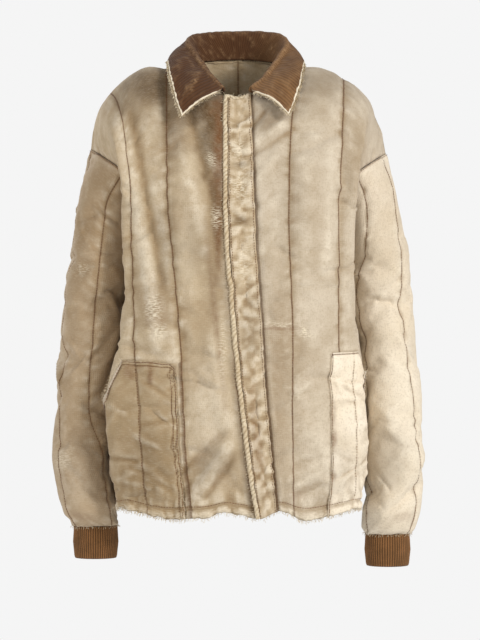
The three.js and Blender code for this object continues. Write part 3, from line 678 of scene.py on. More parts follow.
def bilinear(field, row, column):
    """Values of a gridded field at fractions of its rows and columns."""
    j = np.clip(np.floor(row).astype(int), 0, field.shape[0] - 2)
    i = np.clip(np.floor(column).astype(int), 0, field.shape[1] - 2)
    s, t = column - i, row - j
    if field.ndim == 3:
        s, t = s[..., None], t[..., None]
    return mix(mix(field[j, i], field[j, i + 1], s), mix(field[j + 1, i], field[j + 1, i + 1], s), t)


# Lines of stitching as points, and frayed places as points with the way their threads lean
stitch_lines = []
fray_points = []
fray_leans = []


def sew(grid, facing, line):
    """Notes a seam along one row or column of a grid, to be stitched with thread later."""
    stitch_lines.append(grid[line] + 0.25 * facing[line])


def between(points, reach, places):
    """Points or directions at places along a line whose own points lie at reach."""
    return np.stack([np.interp(places, reach, points[:, k]) for k in range(3)], axis=1)


def fray(points, leans, gap, seed, jitter=1.0):
    """Notes loose threads along a line of points, one in each gap mm."""
    pick = np.random.default_rng(seed)
    reach = edge_lengths(points[:, None], 0)[:, 0]
    places = np.arange(0, reach[-1], gap) + pick.uniform(0, gap, len(np.arange(0, reach[-1], gap)))
    spots, ways = between(points, reach, places), between(leans, reach, places)
    fray_points.append(spots + pick.normal(0, jitter, spots.shape))
    fray_leans.append(ways + pick.normal(0, 0.5, ways.shape))


down = np.array([0, 0, -1])
fronts = {}
for side, name, seed in ((-1, "front_right", 11), (1, "front_left", 23)):
    grid = front_panel(side, name, seed)
    x, z = grid[..., 0], grid[..., 2]
    u = edge_lengths(grid, 1)
    v = even_lengths(grid, front_length_column)
    facing = outward(grid)
    facing[:, 0] = facing[:, 1]
    fronts[side] = {"ground": grid.copy(), "facing": facing, "u": u, "v": v}
    lines = [u[:, column] for column in (0, *front_seams, -1)]
    lift, away, gathers, wander, hem_line = panel_lift(u, v, lines, seed, seed + 3)

    # The cloth lies flat under the pocket and the flap
    inner_station, inner_top = pocket_tops[side][0]
    pocket_edge = np.interp(front_stations, *np.array(pocket_tops[side]).T, left=-900, right=-900)
    inner_column = int(np.interp(inner_station, front_stations, np.arange(u.shape[1])))
    beside = u - u[:, [inner_column]]
    # A painted shadow line runs just outside the pocket's inner edge
    pocket_shadow_line = np.abs(beside + 1.2) + np.clip(z - inner_top, 0, 9)
    under_pocket = ramp(beside + 6, 8) * ramp(pocket_edge[None] + 6 - z, 8)
    under_pocket = under_pocket * (front_stations <= pocket_tops[side][-1][0])
    flap_width = np.abs(flap_reach(grid[:, 0, 2])[:, 0 if side < 0 else 1][:, None])
    under_flap = ramp(flap_width + 9 - u, 8)
    edges = ramp(np.minimum(u[:, -1:] - u, v[-1] - v), 5)
    lift = lift * (1 - np.maximum(under_pocket, under_flap)) * edges

    # Painted shadow beside the flap: a dark band goes into the stain mark, and dark lines beside the flap and
    # the pocket go into the seam mark
    flap_shadow_edge = flap_width + flap_shadow_start[side]
    depth = np.interp(v / v[-1], [0, 0.3, 0.55, 1], [0.95, 0.7, 0.35, 0.9])
    shadow = depth * ramp(1 - (u - flap_shadow_edge) / flap_shadow_width[side])
    seams = np.minimum.reduce([away, hem_line + 1, np.abs(u - flap_shadow_edge), pocket_shadow_line])
    # Sunken cloth, shaded patches and the hem's furrows are painted shade; raised cloth and the painted light
    # patches are painted paler, partly as painted highlight
    ridge, hollow = relief(lift + 0.5 * fold_lift(x, z, front_folds))
    shaded = patches(x, z, shaded_places, seed + 12)
    marks = {
        "ridge": np.maximum(ridge, patches(x, z, painted_light_places, seed + 8)),
        "hollow": np.maximum.reduce([hollow, shaded, between_gathers(gathers)]),
        "stain_and_shadow": np.maximum(patches(x, z, stain_places, seed), shadow),
        "rust": patches(x, z, rust_places, seed),
        "worn": np.maximum(patches(x, z, worn_places, seed), 0.7 * np.exp(-v / 5)),
        "seam": seam_mark(seams),
    }
    face = grid + facing * lift[..., None] + wander
    for column in front_seams:
        sew(face, facing, (slice(4, -3), column))
    sew(face, facing, (4, slice(8, -1)))
    fray(face[0], facing[0] * 0.3 + down, 1.1, seed)
    piece = cloth_piece(
        name, face, duck_cloth(name.replace("_", " "), *front_tones[side]), padded_cloth, "duck",
        u=u, v=v, marks=marks,
    )

back_stains = [[0, -40, 90, 50, 0, 0.5], [-150, -40, 60, 40, 0, 0.4], [160, -50, 60, 40, 0, 0.4]]
back_worn = [[-60, -300, 12, 22, 20, 0.7], [84, -520, 10, 18, -10, 0.7], [20, -180, 8, 12, 0, 0.6]]
back_rust = [[96, -660, 16, 8, 0, 0.4], [-120, -420, 8, 60, 0, 0.3]]
back_right = body_grid(-1, True, back_stations)
back_left = body_grid(1, True, back_stations)
grid = np.concatenate([back_right[:, ::-1], back_left[:, 1:]], axis=1)
stations = np.concatenate([back_stations[::-1], back_stations[1:]])
folds = back_folds + small_creases((-200, 200, -700, -90), 170, 40, 37)
grid[..., 1] += fold_lift(grid[..., 0], grid[..., 2], folds) * edge_fade(stations)
hang_hem(grid, back_drop)
grid = settled_panel("back", grid, back_seams + [0])
x, z = grid[..., 0], grid[..., 2]
u = edge_lengths(grid, 1)
v = even_lengths(grid, back_length_column)
lines = [u[:, column] for column in back_seams + [0, back_middle, -1]]
lift, away, gathers, wander, hem_line = panel_lift(u, v, lines, 41, 43)
lift *= ramp(np.minimum.reduce([u, u[:, -1:] - u, v[-1] - v]), 5)
# Sunken cloth is painted shade; raised cloth is painted paler, partly as painted highlight
ridge, hollow = relief(lift)
facing = outward(grid)
face = grid + facing * lift[..., None] + wander
for column in back_seams + [0, back_middle]:
    sew(face, facing, (slice(4, -3), column))
sew(face, facing, (4, slice(1, -1)))
fray(face[0], facing[0] * 0.3 + down, 1.1, 47)
back = cloth_piece(
    "back", face, duck_cloth("back", "#c9b595", "#af9773"), padded_cloth, "duck",
    u=u, v=v, marks={
        "ridge": ridge, "hollow": hollow, "stain_and_shadow": patches(x, z, back_stains, 5),
        "rust": patches(x, z, back_rust, 6),
        "worn": np.maximum(patches(x, z, back_worn, 7), 0.7 * np.exp(-v / 5)),
        "seam": seam_mark(np.minimum(away, hem_line + 1)),
    },
)

# Sleeves. One piece of the same padded duck each, closed into a tube, set into the dropped armhole and
# gathered into the cuff. One seam runs down the front of the arm and one down the outside, and the cloth
# breaks into creases at the bend of the elbow.
around = 120
steps_per_ring = [3, 2, 2, 3, 3, 3, 3, 3, 2, 1, 1]
sleeve_fine = 6
round_length = 360
round_length = 360
back_seam_turn = 0.72
# Rings below the armhole. Columns: outerLevel, innerLevel, outerX, innerX, frontY, backY
sleeve_rings = {
    -1: [
        [-180, -256, -251, -169, -78, 84], [-232, -296, -262, -175, -72, 80],
        [-300, -330, -272, -182, -66, 78], [-370, -380, -284, -190, -58, 80],
        [-450, -450, -290, -198, -52, 82], [-530, -530, -294, -205, -58, 78],
        [-610, -610, -297, -210, -66, 66], [-680, -680, -295, -207, -72, 56],
        [-722, -722, -286, -202, -66, 42], [-741, -741, -275, -199, -52, 24],
        [-749, -749, -270, -198, -43, 13],
    ],
    1: [
        [-184, -256, 252, 170, -76, 84], [-234, -296, 263, 176, -72, 80],
        [-300, -330, 275, 183, -66, 78], [-370, -380, 284, 190, -58, 80],
        [-450, -450, 291, 198, -52, 82], [-530, -530, 296, 205, -58, 78],
        [-610, -610, 300, 210, -66, 66], [-680, -680, 299, 208, -74, 54],
        [-728, -728, 295, 205, -70, 40], [-752, -752, 287, 206, -58, 20],
        [-761, -761, 282, 208, -50, 10],
    ],
}
# Largest folds. Rows: level, turn (0 outside, 0.25 front, 0.5 inside), width, length, height
sleeve_folds = [
    [-300, 0.2, 22, 0.12, 4], [-345, 0.34, 20, 0.1, 5], [-385, 0.22, 18, 0.14, -5],
    [-425, 0.3, 18, 0.12, 6], [-470, 0.16, 20, 0.12, -4], [-560, 0.26, 26, 0.1, 4],
    [-640, 0.14, 22, 0.14, 5], [-690, 0.3, 18, 0.16, -4],
    [-430, 0.75, 22, 0.12, 5], [-520, 0.85, 26, 0.12, -4], [-640, 0.72, 24, 0.12, 5],
]
# Creases over the unrolled sleeve, as distance round it from the outside and level
elbow_creases = {
    -1: [
        [103, -553, 152, -574, 6, -5], [106, -540, 160, -552, 8, 4], [112, -520, 150, -430, 9, 4],
        [120, -545, 168, -455, 8, -4], [100, -590, 150, -610, 10, 3], [60, -650, 110, -690, 9, -3],
        [230, -560, 300, -590, 10, 4], [240, -470, 290, -510, 9, -4], [60, -300, 140, -340, 12, 3],
    ],
    1: [
        [62, -536, 104, -563, 8, 3], [100, -400, 150, -450, 9, -3], [96, -580, 70, -660, 12, 3],
        [120, -480, 160, -560, 10, -4], [40, -690, 100, -720, 9, -3], [230, -540, 300, -570, 10, 4],
        [240, -460, 290, -500, 9, -4], [60, -300, 140, -330, 12, 3],
    ],
}
# Where the seams run, from the cuff up. Rows: level, turn of the front seam, turn of the outer seam
sleeve_seams = {
    -1: [
        [-750, 0.39, 0.11], [-675, 0.4, 0.118], [-612, 0.35, 0.12], [-580, 0.305, 0.115], [-545, 0.286, 0.1],
        [-460, 0.268, 0.08], [-370, 0.274, 0.06], [-315, 0.26, 0.05], [-218, 0.25, 0.03], [-174, 0.25, 0.0],
    ],
    1: [
        [-762, 0.41, 0.1], [-700, 0.45, 0.1], [-626, 0.455, 0.115], [-544, 0.41, 0.132], [-463, 0.4, 0.152],
        [-411, 0.4, 0.155], [-360, 0.4, 0.14], [-308, 0.334, 0.125], [-264, 0.29, 0.109], [-176, 0.25, 0.05],
    ],
}


def ring_points(ring, turns):
    outer_level, inner_level, outer_x, inner_x, front_y, back_y = ring
    out = (1 + np.cos(2 * math.pi * turns)) / 2
    y = mix((front_y + back_y) / 2, front_y, np.sin(2 * math.pi * turns))
    return np.stack([mix(inner_x, outer_x, out), y, mix(inner_level, outer_level, out)], axis=-1)


def sleeve_grid(side, seed):
    turns = np.arange(around) / around
    share = np.abs(1 - 2 * turns)
    armhole = [point_curve(edge[side])(share) for edge in (armhole_front, armhole_back)]
    start = np.where((turns <= 0.5)[:, None], *armhole)
    rings = np.array([start] + [ring_points(ring, turns) for ring in sleeve_rings[side]])
    ring_marks = list(range(len(rings)))
    places = spaced(ring_marks, [steps * sleeve_fine for steps in steps_per_ring])
    grid = np.stack([curve_through(ring_marks, rings[:, k])(places) for k in range(around)], axis=1)
    lift = np.zeros(grid.shape[:2])
    for level, turn, width, length, height in sleeve_folds:
        aside = np.abs(turns - turn)
        near = np.minimum(aside, 1 - aside) / length
        lift += height * np.exp(-((grid[..., 2] - level) / width) ** 2 - near ** 2)
    creases = elbow_creases[side] + small_creases((0, round_length, -730, -200), 110, 50, seed)
    lift += fold_lift(np.broadcast_to(turns * round_length, lift.shape), grid[..., 2], creases)
    out = grid - grid.mean(axis=1, keepdims=True)
    out[..., 2] = 0
    return grid + direction(out) * lift[..., None]


sleeve_worn = [[-20, -590, 30, 60, 0, 0.5], [70, -330, 16, 10, 0, 0.4], [60, -640, 20, 14, 30, 0.5]]
sleeve_stain = [[120, -640, 50, 60, 0, 0.3], [240, -500, 60, 90, 0, 0.3]]
# Painted shade on the sleeves, as patches by distance round and level
sleeve_shaded = {
    -1: [[80, -260, 60, 130, 0, 0.5], [130, -400, 40, 200, 0, 0.4], [110, -560, 24, 40, 30, 0.5]],
    1: [[90, -250, 90, 110, 0, 0.35], [168, -480, 16, 220, 0, 0.6]],
}
# Painted light: paler patches on the sleeves, by distance round and level
sleeve_painted_light = {
    -1: [[8, -420, 26, 280, 0, 0.6], [70, -660, 40, 60, 0, 0.5]],
    1: [[80, -590, 90, 170, 0, 1.0], [30, -330, 30, 90, 0, 0.3]],
}
# The wearer's right sleeve, on the side away from the key light, gets a darker cloth and the left one a
# paler: partly painted shade and painted light, partly the cloth's own tone
sleeve_tones_lit_and_shaded = {-1: ("#b39c7e", "#9a8161"), 1: ("#e2d4be", "#d6c5aa")}
for side, name, seed in ((-1, "sleeve_right", 61), (1, "sleeve_left", 71)):
    grid = sleeve_grid(side, seed)
    held = np.zeros(grid.shape[:2])
    held[[0, 1, -1, -2]] = 1
    held[:, ::around // 3] = 0.25
    inside = grid.mean(axis=1, keepdims=True)
    grid += settle(name + "_slack", grid, held, inside, wrapped=True)
    closed = np.concatenate([grid, grid[:, :1]], axis=1)
    u = edge_lengths(closed, 1)
    v = np.broadcast_to(edge_lengths(closed, 0).mean(axis=1, keepdims=True), u.shape)
    front_levels = np.clip(grid[:, around // 4, 2], sleeve_seams[side][0][0], -174)
    turn_at = table_curve(sleeve_seams[side])(front_levels)
    seam_turns = [turn_at[:, 0], turn_at[:, 1], np.full(len(grid), back_seam_turn)]
    seam_columns = [turn * around for turn in seam_turns]
    rows = np.arange(len(grid))
    lines = [bilinear(u, rows, column) for column in seam_columns]
    lift, away = stitched(u[:, :-1], v[:, :-1], lines, seed, loop=u[:, -1:])
    u_open, v_open = u[:, :-1], v[:, :-1]
    to_cuff = v[-1, 0] - v_open
    pleats = soft_noise(u_open, v_open * 0.1, 15, seed + 3)
    pleats = pleats + 0.5 * soft_noise(u_open, v_open * 0.1, 7, seed + 4)
    lift = lift * ramp(to_cuff, 10) + pleats * 2.6 * np.exp(-to_cuff / 16)
    lift += rumple(u_open, v_open, (0.4, 20), (0.2, 8), seed + 5)
    lift *= ramp(v_open, 5)
    facing = outward(grid, inside, wrapped=True)
    face = grid + facing * lift[..., None]
    shut = np.concatenate([face, face[:, :1]], axis=1)
    shut_facing = np.concatenate([facing, facing[:, :1]], axis=1)
    for column in seam_columns[:2]:
        seam = bilinear(shut, rows, column) + 0.25 * bilinear(shut_facing, rows, column)
        stitch_lines.append(seam[2:-2])
    sew(shut, shut_facing, 1)
    fray(shut[-1], shut_facing[-1] + 0.6 * down, 2.2, seed)
    # Sunken cloth and the shaded patches are painted shade; raised cloth and the painted light patches are
    # painted paler, partly as painted highlight
    ridge, hollow = relief(lift)
    x, z = u_open, grid[..., 2]
    piece = cloth_piece(
        name, face, duck_cloth(name.replace("_", " "), *sleeve_tones_lit_and_shaded[side]), padded_cloth, "duck",
        inside, wrapped=True, u=u, v=v, marks={
            "ridge": np.maximum(ridge, patches(x, z, sleeve_painted_light[side], seed + 7)),
            "hollow": np.maximum(hollow, patches(x, z, sleeve_shaded[side], seed + 8)),
            "stain_and_shadow": patches(x, z, sleeve_stain, seed),
            "rust": patches(x, z, [[60, -730, 20, 8, 0, 0.3]], seed),
            "worn": np.maximum(patches(x, z, sleeve_worn, seed), 0.5 * np.exp(-to_cuff / 4)),
            "seam": seam_mark(away),
        },
    )

# Storm flap. A narrow double strip of duck over the closing edge, sewn down along the wearer's left and
# free along the right, crumpled and rubbed pale, with its top corner rounded off.
flap_columns = 15
flap_rows = 206
row_height = 3.6
flap_top = (lower_rows + 0.95 * upper_rows) * fine
flap_cloth = 2.2
flap_seat = 0.8
corner_round = 11
flap_folds = [
    [-18, -116, 14, -108, 4, 1.6], [-14, -148, 16, -160, 4, -1.6], [-6, -172, 18, -178, 4, -1.8],
    [-16, -232, 4, -244, 4, 1.5], [-4, -262, 18, -256, 5, -1.8], [-18, -300, 10, -312, 5, 1.4],
    [-12, -372, 16, -366, 4, -1.6], [0, -400, 20, -430, 5, 1.6], [-4, -470, 20, -452, 4, -1.8],
    [0, -520, 26, -536, 5, 1.8], [4, -560, 30, -578, 4, -2.2], [10, -610, 34, -600, 5, 1.8],
    [14, -650, 40, -668, 4, -2], [20, -690, 44, -676, 5, 2],
]


def beside_centre(offset, row, height):
    """A place on the fronts, offset mm beside the centre line, standing height off their stitch lines."""
    places = []
    for side in (-1, 1):
        face = fronts[side]
        column = np.abs(offset) / bilinear(face["u"], row, np.ones(row.shape))
        places.append(bilinear(face["ground"], row, column)
                      + bilinear(face["facing"], row, column) * height[..., None])
    return np.where((offset < 0)[..., None], *places)


share = np.linspace(0, 1, flap_columns)[None]
row = np.linspace(0, 1, flap_rows)[:, None] * flap_top
level = np.interp(row, np.arange(len(levels)), fronts[1]["ground"][:, 0, 2])
reach = flap_reach(level[:, 0])
offset = mix(reach[:, :1], reach[:, 1:], share)
from_edge = offset - reach[:, :1]
to_seam = reach[:, 1:] - offset
cut = np.maximum(corner_round - from_edge, 0)
drop = corner_round - np.sqrt(corner_round ** 2 - cut ** 2)
row = row * (1 - drop / row_height / flap_top * (row / flap_top) ** 12)
beside_middle = offset + np.interp(level, [hem_level, chest_level], [44, 5])
folds = flap_folds + small_creases((-18, 62, -700, -90), 80, 70, 88)
lift = flap_seat + flap_cloth + 1.4 * (1 - np.exp(-to_seam / 4)) * (1 - np.exp(-from_edge / 4))
lift += fold_lift(beside_middle, level, folds)
lift += rumple(offset, level, (1.3, 13), (0.8, 6), 81)
lift += 1.0 * soft_noise(offset * 0.3, level, 7, 83) * (np.exp(-to_seam / 5) + np.exp(-from_edge / 4))
lift = np.maximum(lift, flap_seat + flap_cloth - 0.3)
face = beside_centre(offset, row, lift)
# Sunken crinkles are painted shade; raised ones are painted paler, partly as painted highlight
ridge, hollow = relief(lift * 1.6, 2)
x, z = face[..., 0], face[..., 2]
flap_worn = [[0, -140, 12, 14, 0, 0.8], [6, -200, 14, 26, 0, 0.7], [10, -320, 12, 30, 0, 0.5]]
flap_stain = [[6, -165, 16, 5, 0, 0.5], [4, -255, 14, 8, 0, 0.5], [20, -430, 18, 60, 0, 0.3]]
flap = cloth_piece(
    "flap", face, duck_cloth("storm flap", "#cab79a", "#b09977"), flap_cloth, "duck",
    u=offset, v=even_lengths(face, flap_columns // 2), marks={
        "ridge": ridge, "hollow": hollow, "stain_and_shadow": patches(x, z, flap_stain, 84),
        "rust": patches(x, z, [[30, -600, 8, 90, 6, 0.4], [-6, -520, 5, 60, 8, 0.3]], 85),
        "worn": patches(x, z, flap_worn, 86),
        # Dark lines on the seams; the one along the sewn side is also a painted shadow of the flap standing
        # proud
        "seam": np.maximum(0.9 * seam_mark(to_seam), seam_mark(from_edge)),
    },
)
facing = outward(face)
sew(face, facing, (slice(1, -2), 1))
sew(face, facing, (slice(1, -2), flap_columns - 2))

# Flap binding. A bias strip of the same duck folded round the flap's free edge and over its top corner.
# It is stuffed and puckered like a rope, and rubbed almost white.
rope_width = 5.8
rope_height = 4.4
rope_seat = 0.9
rope_step = 1.5
strand_pitch = 8
strand_lean = 1.3
from_flap_edge = 3.4
top_turn = 9
turn = np.linspace(0, math.pi / 2, 8)[1:-1]
over_top = np.full(12, flap_top + 0.6)
edge_row = np.concatenate([row[:-2, 0], mix(row[-3, 0], flap_top + 0.6, np.sin(turn)), over_top])
edge_offset = np.concatenate([
    reach[:-2, 0] - from_flap_edge, reach[-1, 0] - from_flap_edge + (1 - np.cos(turn)) * top_turn,
    np.linspace(-10, 12, len(over_top)),
])
path = beside_centre(edge_offset, edge_row, np.full(edge_row.shape, rope_seat))
along = edge_lengths(path[:, None], 0)[:, 0]
even = np.arange(0, along[-1], rope_step)
path = between(path, along, even)
ahead = direction(np.gradient(path, axis=0))
front_way = direction((path - [20, 200, 0]) * [1, 1, 0])
aside = direction(np.cross(ahead, front_way))
angle = np.linspace(0, math.pi, 13)[None, :]
even = even[:, None]
wander = 0.5 * soft_noise(even, 0 * even, 19, 90)
strand = 0.5 + 0.5 * np.sin(2 * math.pi * (even / strand_pitch + wander + angle / math.pi * strand_lean))
rough = 0.35 * soft_noise(even, angle * 3, 3, 91)
swell = 0.9 + 0.16 * strand + 0.2 * rough + 0.08 * soft_noise(even, 0 * even, 24, 92)
grid = (
    path[:, None]
    + aside[:, None] * (np.cos(angle) * swell)[..., None] * rope_width / 2
    + front_way[:, None] * (np.sin(angle) * swell)[..., None] * rope_height
)
binding = cloth_piece(
    "flap_binding", grid, duck_cloth("bound edge", "#dac9a9", "#b79d75", "#f0e4cb"), 1.0, "binding",
    u=np.broadcast_to(angle * 4, strand.shape), v=np.broadcast_to(even, strand.shape),
    marks={
        # Painted shade in the grooves between the strands, and paler strand crowns, partly painted highlight
        "ridge": strand * np.clip(0.5 + rough, 0.1, 0.7), "hollow": (1 - strand) ** 2,
        "worn": ramp(0.3 + 0.5 * soft_noise(even, angle, 16, 93)),
        "stain_and_shadow": 0 * strand, "rust": np.exp(-angle / 0.5) * 0.3 + 0 * strand, "seam": 0 * strand,
    },
)
for column, way in ((1, 1), (11, -1)):
    fray(grid[:, column], front_way * 0.7 + aside * way, 3.0, 94 + column, 0.4)

# Patch pockets. A big patch of single duck on each front, its bottom caught in the hem, set on with two
# rows of stitching on the wearer's right and one on the left. The slanting opening for the hand is bound
# with a folded strip.
patch_cloth = 2.2
pocket_seat = 1.2
pocket_crown = 2.5
entry_width = 14
pocket_inner_round = {-1: 14, 1: 3}
second_row = {-1: 7.4, 1: 5}
middle_station = {-1: 1.98, 1: 2.65}
middle_strength = {-1: 1.0, 1: 0.78}
pocket_columns = 61
pocket_rows = 97
column_pitch = 1.5
station_width = 60
length_row = 60
# The wearer's right pocket gets a darker, browner cloth and the left a much paler one: partly stain and wear,
# partly painted shade and painted light, the left facing the key light. Each: light, deep, rust patches
pocket_look_lit_and_shaded = {
    -1: ("#ad9675", "#967f5d", [[-172, -493, 13, 13, 0, 0.6], [-139, -498, 5, 20, 0, 0.7]]),
    1: ("#efe2cd", "#e2d1b6", [
        [150, -560, 6, 20, 0, 0.6], [152, -600, 5, 14, 0, 0.7], [150, -660, 6, 9, 0, 0.6],
    ]),
}


def on_front(face, station, level):
    """A front's ground, the way out of it and its cloth lengths, at stations and levels below the chest."""
    row = lower_rows * fine * (level - hem_level) / (chest_level - hem_level)
    column = np.broadcast_to(np.interp(station, front_stations, np.arange(len(front_stations))), row.shape)
    return [bilinear(face[key], row, column) for key in ("ground", "facing", "u", "v")]


for side, name, seed in ((-1, "right", 101), (1, "left", 121)):
    face = fronts[side]
    tops = np.array(pocket_tops[side], float)
    lengths = face["u"][length_row]
    first, last = [np.interp(station, front_stations, lengths) for station in (tops[0, 0], tops[-1, 0])]
    station = np.interp(np.linspace(first, last, pocket_columns), lengths, front_stations)
    inset = np.linspace(0, last - first, pocket_columns)
    cut = np.maximum(pocket_inner_round[side] - inset, 0)
    top = np.interp(station, tops[:, 0], tops[:, 1])
    top = top - (pocket_inner_round[side] - np.sqrt(pocket_inner_round[side] ** 2 - cut ** 2))
    height = np.linspace(0, 1, pocket_rows)[:, None]
    level = mix(hem_level, top[None], height)
    ground, facing, u, v = on_front(face, station, level)
    from_inner = u - u[:, :1]
    from_top = top[None] - level
    middle_line = np.abs(station - middle_station[side])[None] * station_width
    across = np.sin(math.pi * np.linspace(0, 1, pocket_columns))[None]
    crown = np.sqrt(ramp(np.sin(math.pi * height) * across))
    lift = pocket_crown * crown + 0.7 * soft_noise(u, v, 30, seed) + 0.4 * soft_noise(u, v, 11, seed + 1)
    lift += fold_lift(u, v, small_creases((first, last, 20, 230), 26, 60, seed + 2))
    edge_rows = [
        np.abs(from_top - 2.4), np.abs(from_inner - 1.6),
        np.abs(from_top - 7.3), np.abs(from_inner - second_row[side]),
    ]
    near_edge = np.minimum.reduce(edge_rows[:2])
    double = np.minimum.reduce(edge_rows) if side < 0 else near_edge
    lift -= bell(double, 1.8) + 0.9 * bell(middle_line, 2.2)
    pucker = soft_noise(v + 0.3 * u, u * 0.2, 8, seed + 3)
    lift += 0.8 * pucker * (np.exp(-double / 5) + 0.7 * np.exp(-middle_line / 8))
    gathers, wander, hem_line = hem_gathers(u, v, seed + 4)
    lift = pocket_seat + patch_cloth + np.maximum(lift + gathers, -0.4)
    grid = ground + facing * lift[..., None] + wander
    # Sunken cloth and the hem's furrows are painted shade; raised cloth is painted a little paler, partly as
    # painted highlight
    ridge, hollow = relief(lift, 3)
    light, deep, rusty = pocket_look_lit_and_shaded[side]
    x, z = grid[..., 0], grid[..., 2]
    piece = cloth_piece(
        f"pocket_{name}", grid, duck_cloth(f"{name} pocket", light, deep), patch_cloth, "duck",
        u=u, v=v, marks={
            "ridge": 0.6 * ridge, "hollow": np.maximum(hollow, between_gathers(gathers)),
            "stain_and_shadow": patches(x, z, [[side * 150, -640, 50, 60, 0, 0.25]], seed),
            "rust": patches(x, z, rusty, seed),
            "worn": np.maximum(0.7 * np.exp(-v / 5), 0.5 * np.exp(-near_edge)),
            "seam": np.maximum(seam_mark(double * 1.5), middle_strength[side] * seam_mark(middle_line)),
        },
    )
    slant = int(np.searchsorted(station, tops[-4, 0]))
    middle = int(np.searchsorted(station, middle_station[side]))
    sew(grid, facing, (slice(2, -1), 1))
    if side < 0:
        sew(grid, facing, (slice(4, -3), int(second_row[side] / column_pitch)))
    sew(grid, facing, (-2, slice(1, slant)))
    if side < 0:
        sew(grid, facing, (-4, slice(4, slant)))
    sew(grid, facing, (slice(9, -6), middle))
    sew(grid, facing, (6, slice(1, -1)))
    fray(grid[0], facing[0] * 0.3 + down, 1.1, seed)
    fray(grid[:, 0], facing[:, 0] + [side * -0.8, 0, 0], 3.5, seed + 1, 0.5)

    entry = tops[-3:]
    entry_station = np.interp(np.linspace(0, 1, 40), np.linspace(0, 1, 3), entry[:, 0])
    entry_top = np.interp(entry_station, entry[:, 0], entry[:, 1])
    drop = np.linspace(entry_width, -1.2, 9)[:, None]
    ground, facing, u, v = on_front(face, entry_station, entry_top[None] - drop)
    roll = np.sqrt(ramp(np.sin(math.pi * np.linspace(0.06, 0.94, len(drop)))))[:, None]
    lumps = rumple(u + v, u - v, (0.8, 6), (0.4, 3), seed + 7)
    lift = pocket_seat + patch_cloth + 1.5 + 2.2 * roll + lumps
    grid = ground + facing * lift[..., None]
    binding = cloth_piece(
        f"pocket_binding_{name}", grid, duck_cloth(f"{name} pocket edge", light, deep, "#f6eedf"), 1.6,
        "binding", u=u, v=v, marks={
            # The roll of the bound edge is painted paler on top: painted highlight, partly rubbed
            "ridge": roll + 0 * lift, "hollow": 0 * lift, "stain_and_shadow": 0 * lift, "rust": 0.2 + 0 * lift,
            "worn": np.broadcast_to(0.8 * np.exp(-(drop + 1.2) / 3), lift.shape),
            "seam": np.broadcast_to(seam_mark(entry_width - drop), lift.shape),
        },
    )
    sew(grid, facing, (1, slice(1, -1)))
    fray(grid[-1], facing[-1] + [side * 0.6, 0, 0.6], 0.9, seed + 9, 0.6)

# Collar. One strip of worn brown corduroy on a stand, turned down over itself, its pile rubbed off along
# the fold and the points, and its raw edges frayed to a cream fringe.
corduroy = 3
collar_fold = point_curve([
    [0, -25, -98, -40], [1, -42, -76, -20], [2, -57, -46, 2], [3, -72, -12, 28], [4, -83, 16, 48],
    [5, -76, 46, 61], [6, -48, 72, 69], [7, 0, 84, 72], [8, 48, 72, 70], [9, 75, 46, 61],
    [10, 80, 16, 44], [11, 69, -12, 22], [12, 53, -46, -4], [13, 38, -76, -24], [14, 21, -98, -40],
])
collar_edge = point_curve([
    [0, -89, -121, -87], [1, -98, -106, -62], [2, -107, -84, -30], [3, -113, -38, 3], [4, -114, 6, 14],
    [5, -107, 56, 2], [6, -64, 98, -4], [7, 0, 114, -8], [8, 64, 98, -4], [9, 103, 58, 0],
    [10, 108, 6, 12], [11, 106, -38, 0], [12, 100, -84, -32], [13, 90, -106, -62], [14, 80, -121, -85],
])
fold_radius = 5
fall_bulge = 5
neck_clearance = 1.8
mark_length = 40
fall_rows = 12
collar_inside = np.array([0, 0, 20])
neck_seam = curve_through(range(15), np.array(
    [row[1:] for row in front_neck[-1][1:]] + [row[1:] for row in back_neck[-1][3:0:-1]]
    + [row[1:] for row in back_neck[1][:4]] + [row[1:] for row in front_neck[1][:0:-1]], float,
))
at = np.linspace(0, 14, 281)
seam, fold, edge = neck_seam(at), collar_fold(at), collar_edge(at)
out = direction(seam * [1, 1, 0] - [0, 6, 0])
rise = np.array([0, 0, 1])
base = seam - out * corduroy + rise * neck_clearance
before = fold - out * fold_radius - rise * fold_radius
after = fold + out * fold_radius - rise * fold_radius
bulge = direction(out + rise)
profile = [base, mix(base, before, 0.5), before, fold, after]
for share in (0.33, 0.67):
    profile.append(mix(after, edge, share) + bulge * fall_bulge * math.sin(math.pi * share))
profile = np.array(profile + [edge])
places = spaced([0, 1, 2, 3, 4, 5, 6, 6.8, 7], [6, 6, 4, 4, 8, 9, 9, 8])
grid = np.stack([curve_through(range(8), profile[:, k])(places) for k in range(len(at))], axis=1)
u = edge_lengths(grid, 1)
u = np.broadcast_to(edge_lengths(grid[-fall_rows:1 - fall_rows], 1), u.shape)
v = edge_lengths(grid, 0)
from_ends = np.minimum(at, at[-1] - at) * mark_length
from_edge = np.minimum(v[-1:] - v, from_ends[None])
on_fall = ramp(places - 3.5, 1.5)[:, None]
facing = outward(grid, collar_inside)
collar_folds = [[-96, -70, -70, -30, 8, 2], [-70, -100, -50, -70, 6, -2], [70, -90, 50, -60, 6, 2.5],
                [90, -60, 66, -36, 7, -2.5], [84, -100, 60, -96, 6, 2], [-100, -40, -84, 0, 8, -2]]
x, z = grid[..., 0], grid[..., 2]
lift = rumple(u, v, (1.0, 26), (0.5, 9), 131)
lift += fold_lift(x, z, collar_folds) * (grid[..., 1] < 0) * on_fall
lift += 0.9 * soft_noise(u, v * 0.3, 6, 133) * np.exp(-from_edge / 5) * on_fall
ragged = soft_noise(u[-1], 0 * u[-1], 5, 134) + soft_noise(u[-1], 0 * u[-1], 2.4, 135)
grid = grid + facing * (lift * ramp(v, 8))[..., None]
grid[-1] += (grid[-1] - grid[-2]) * ragged[:, None] * 0.8

cord, tree, shader = new_material("worn cotton corduroy", 0.95, 0.06)
chart = add_node(tree, "ShaderNodeTexCoord").outputs
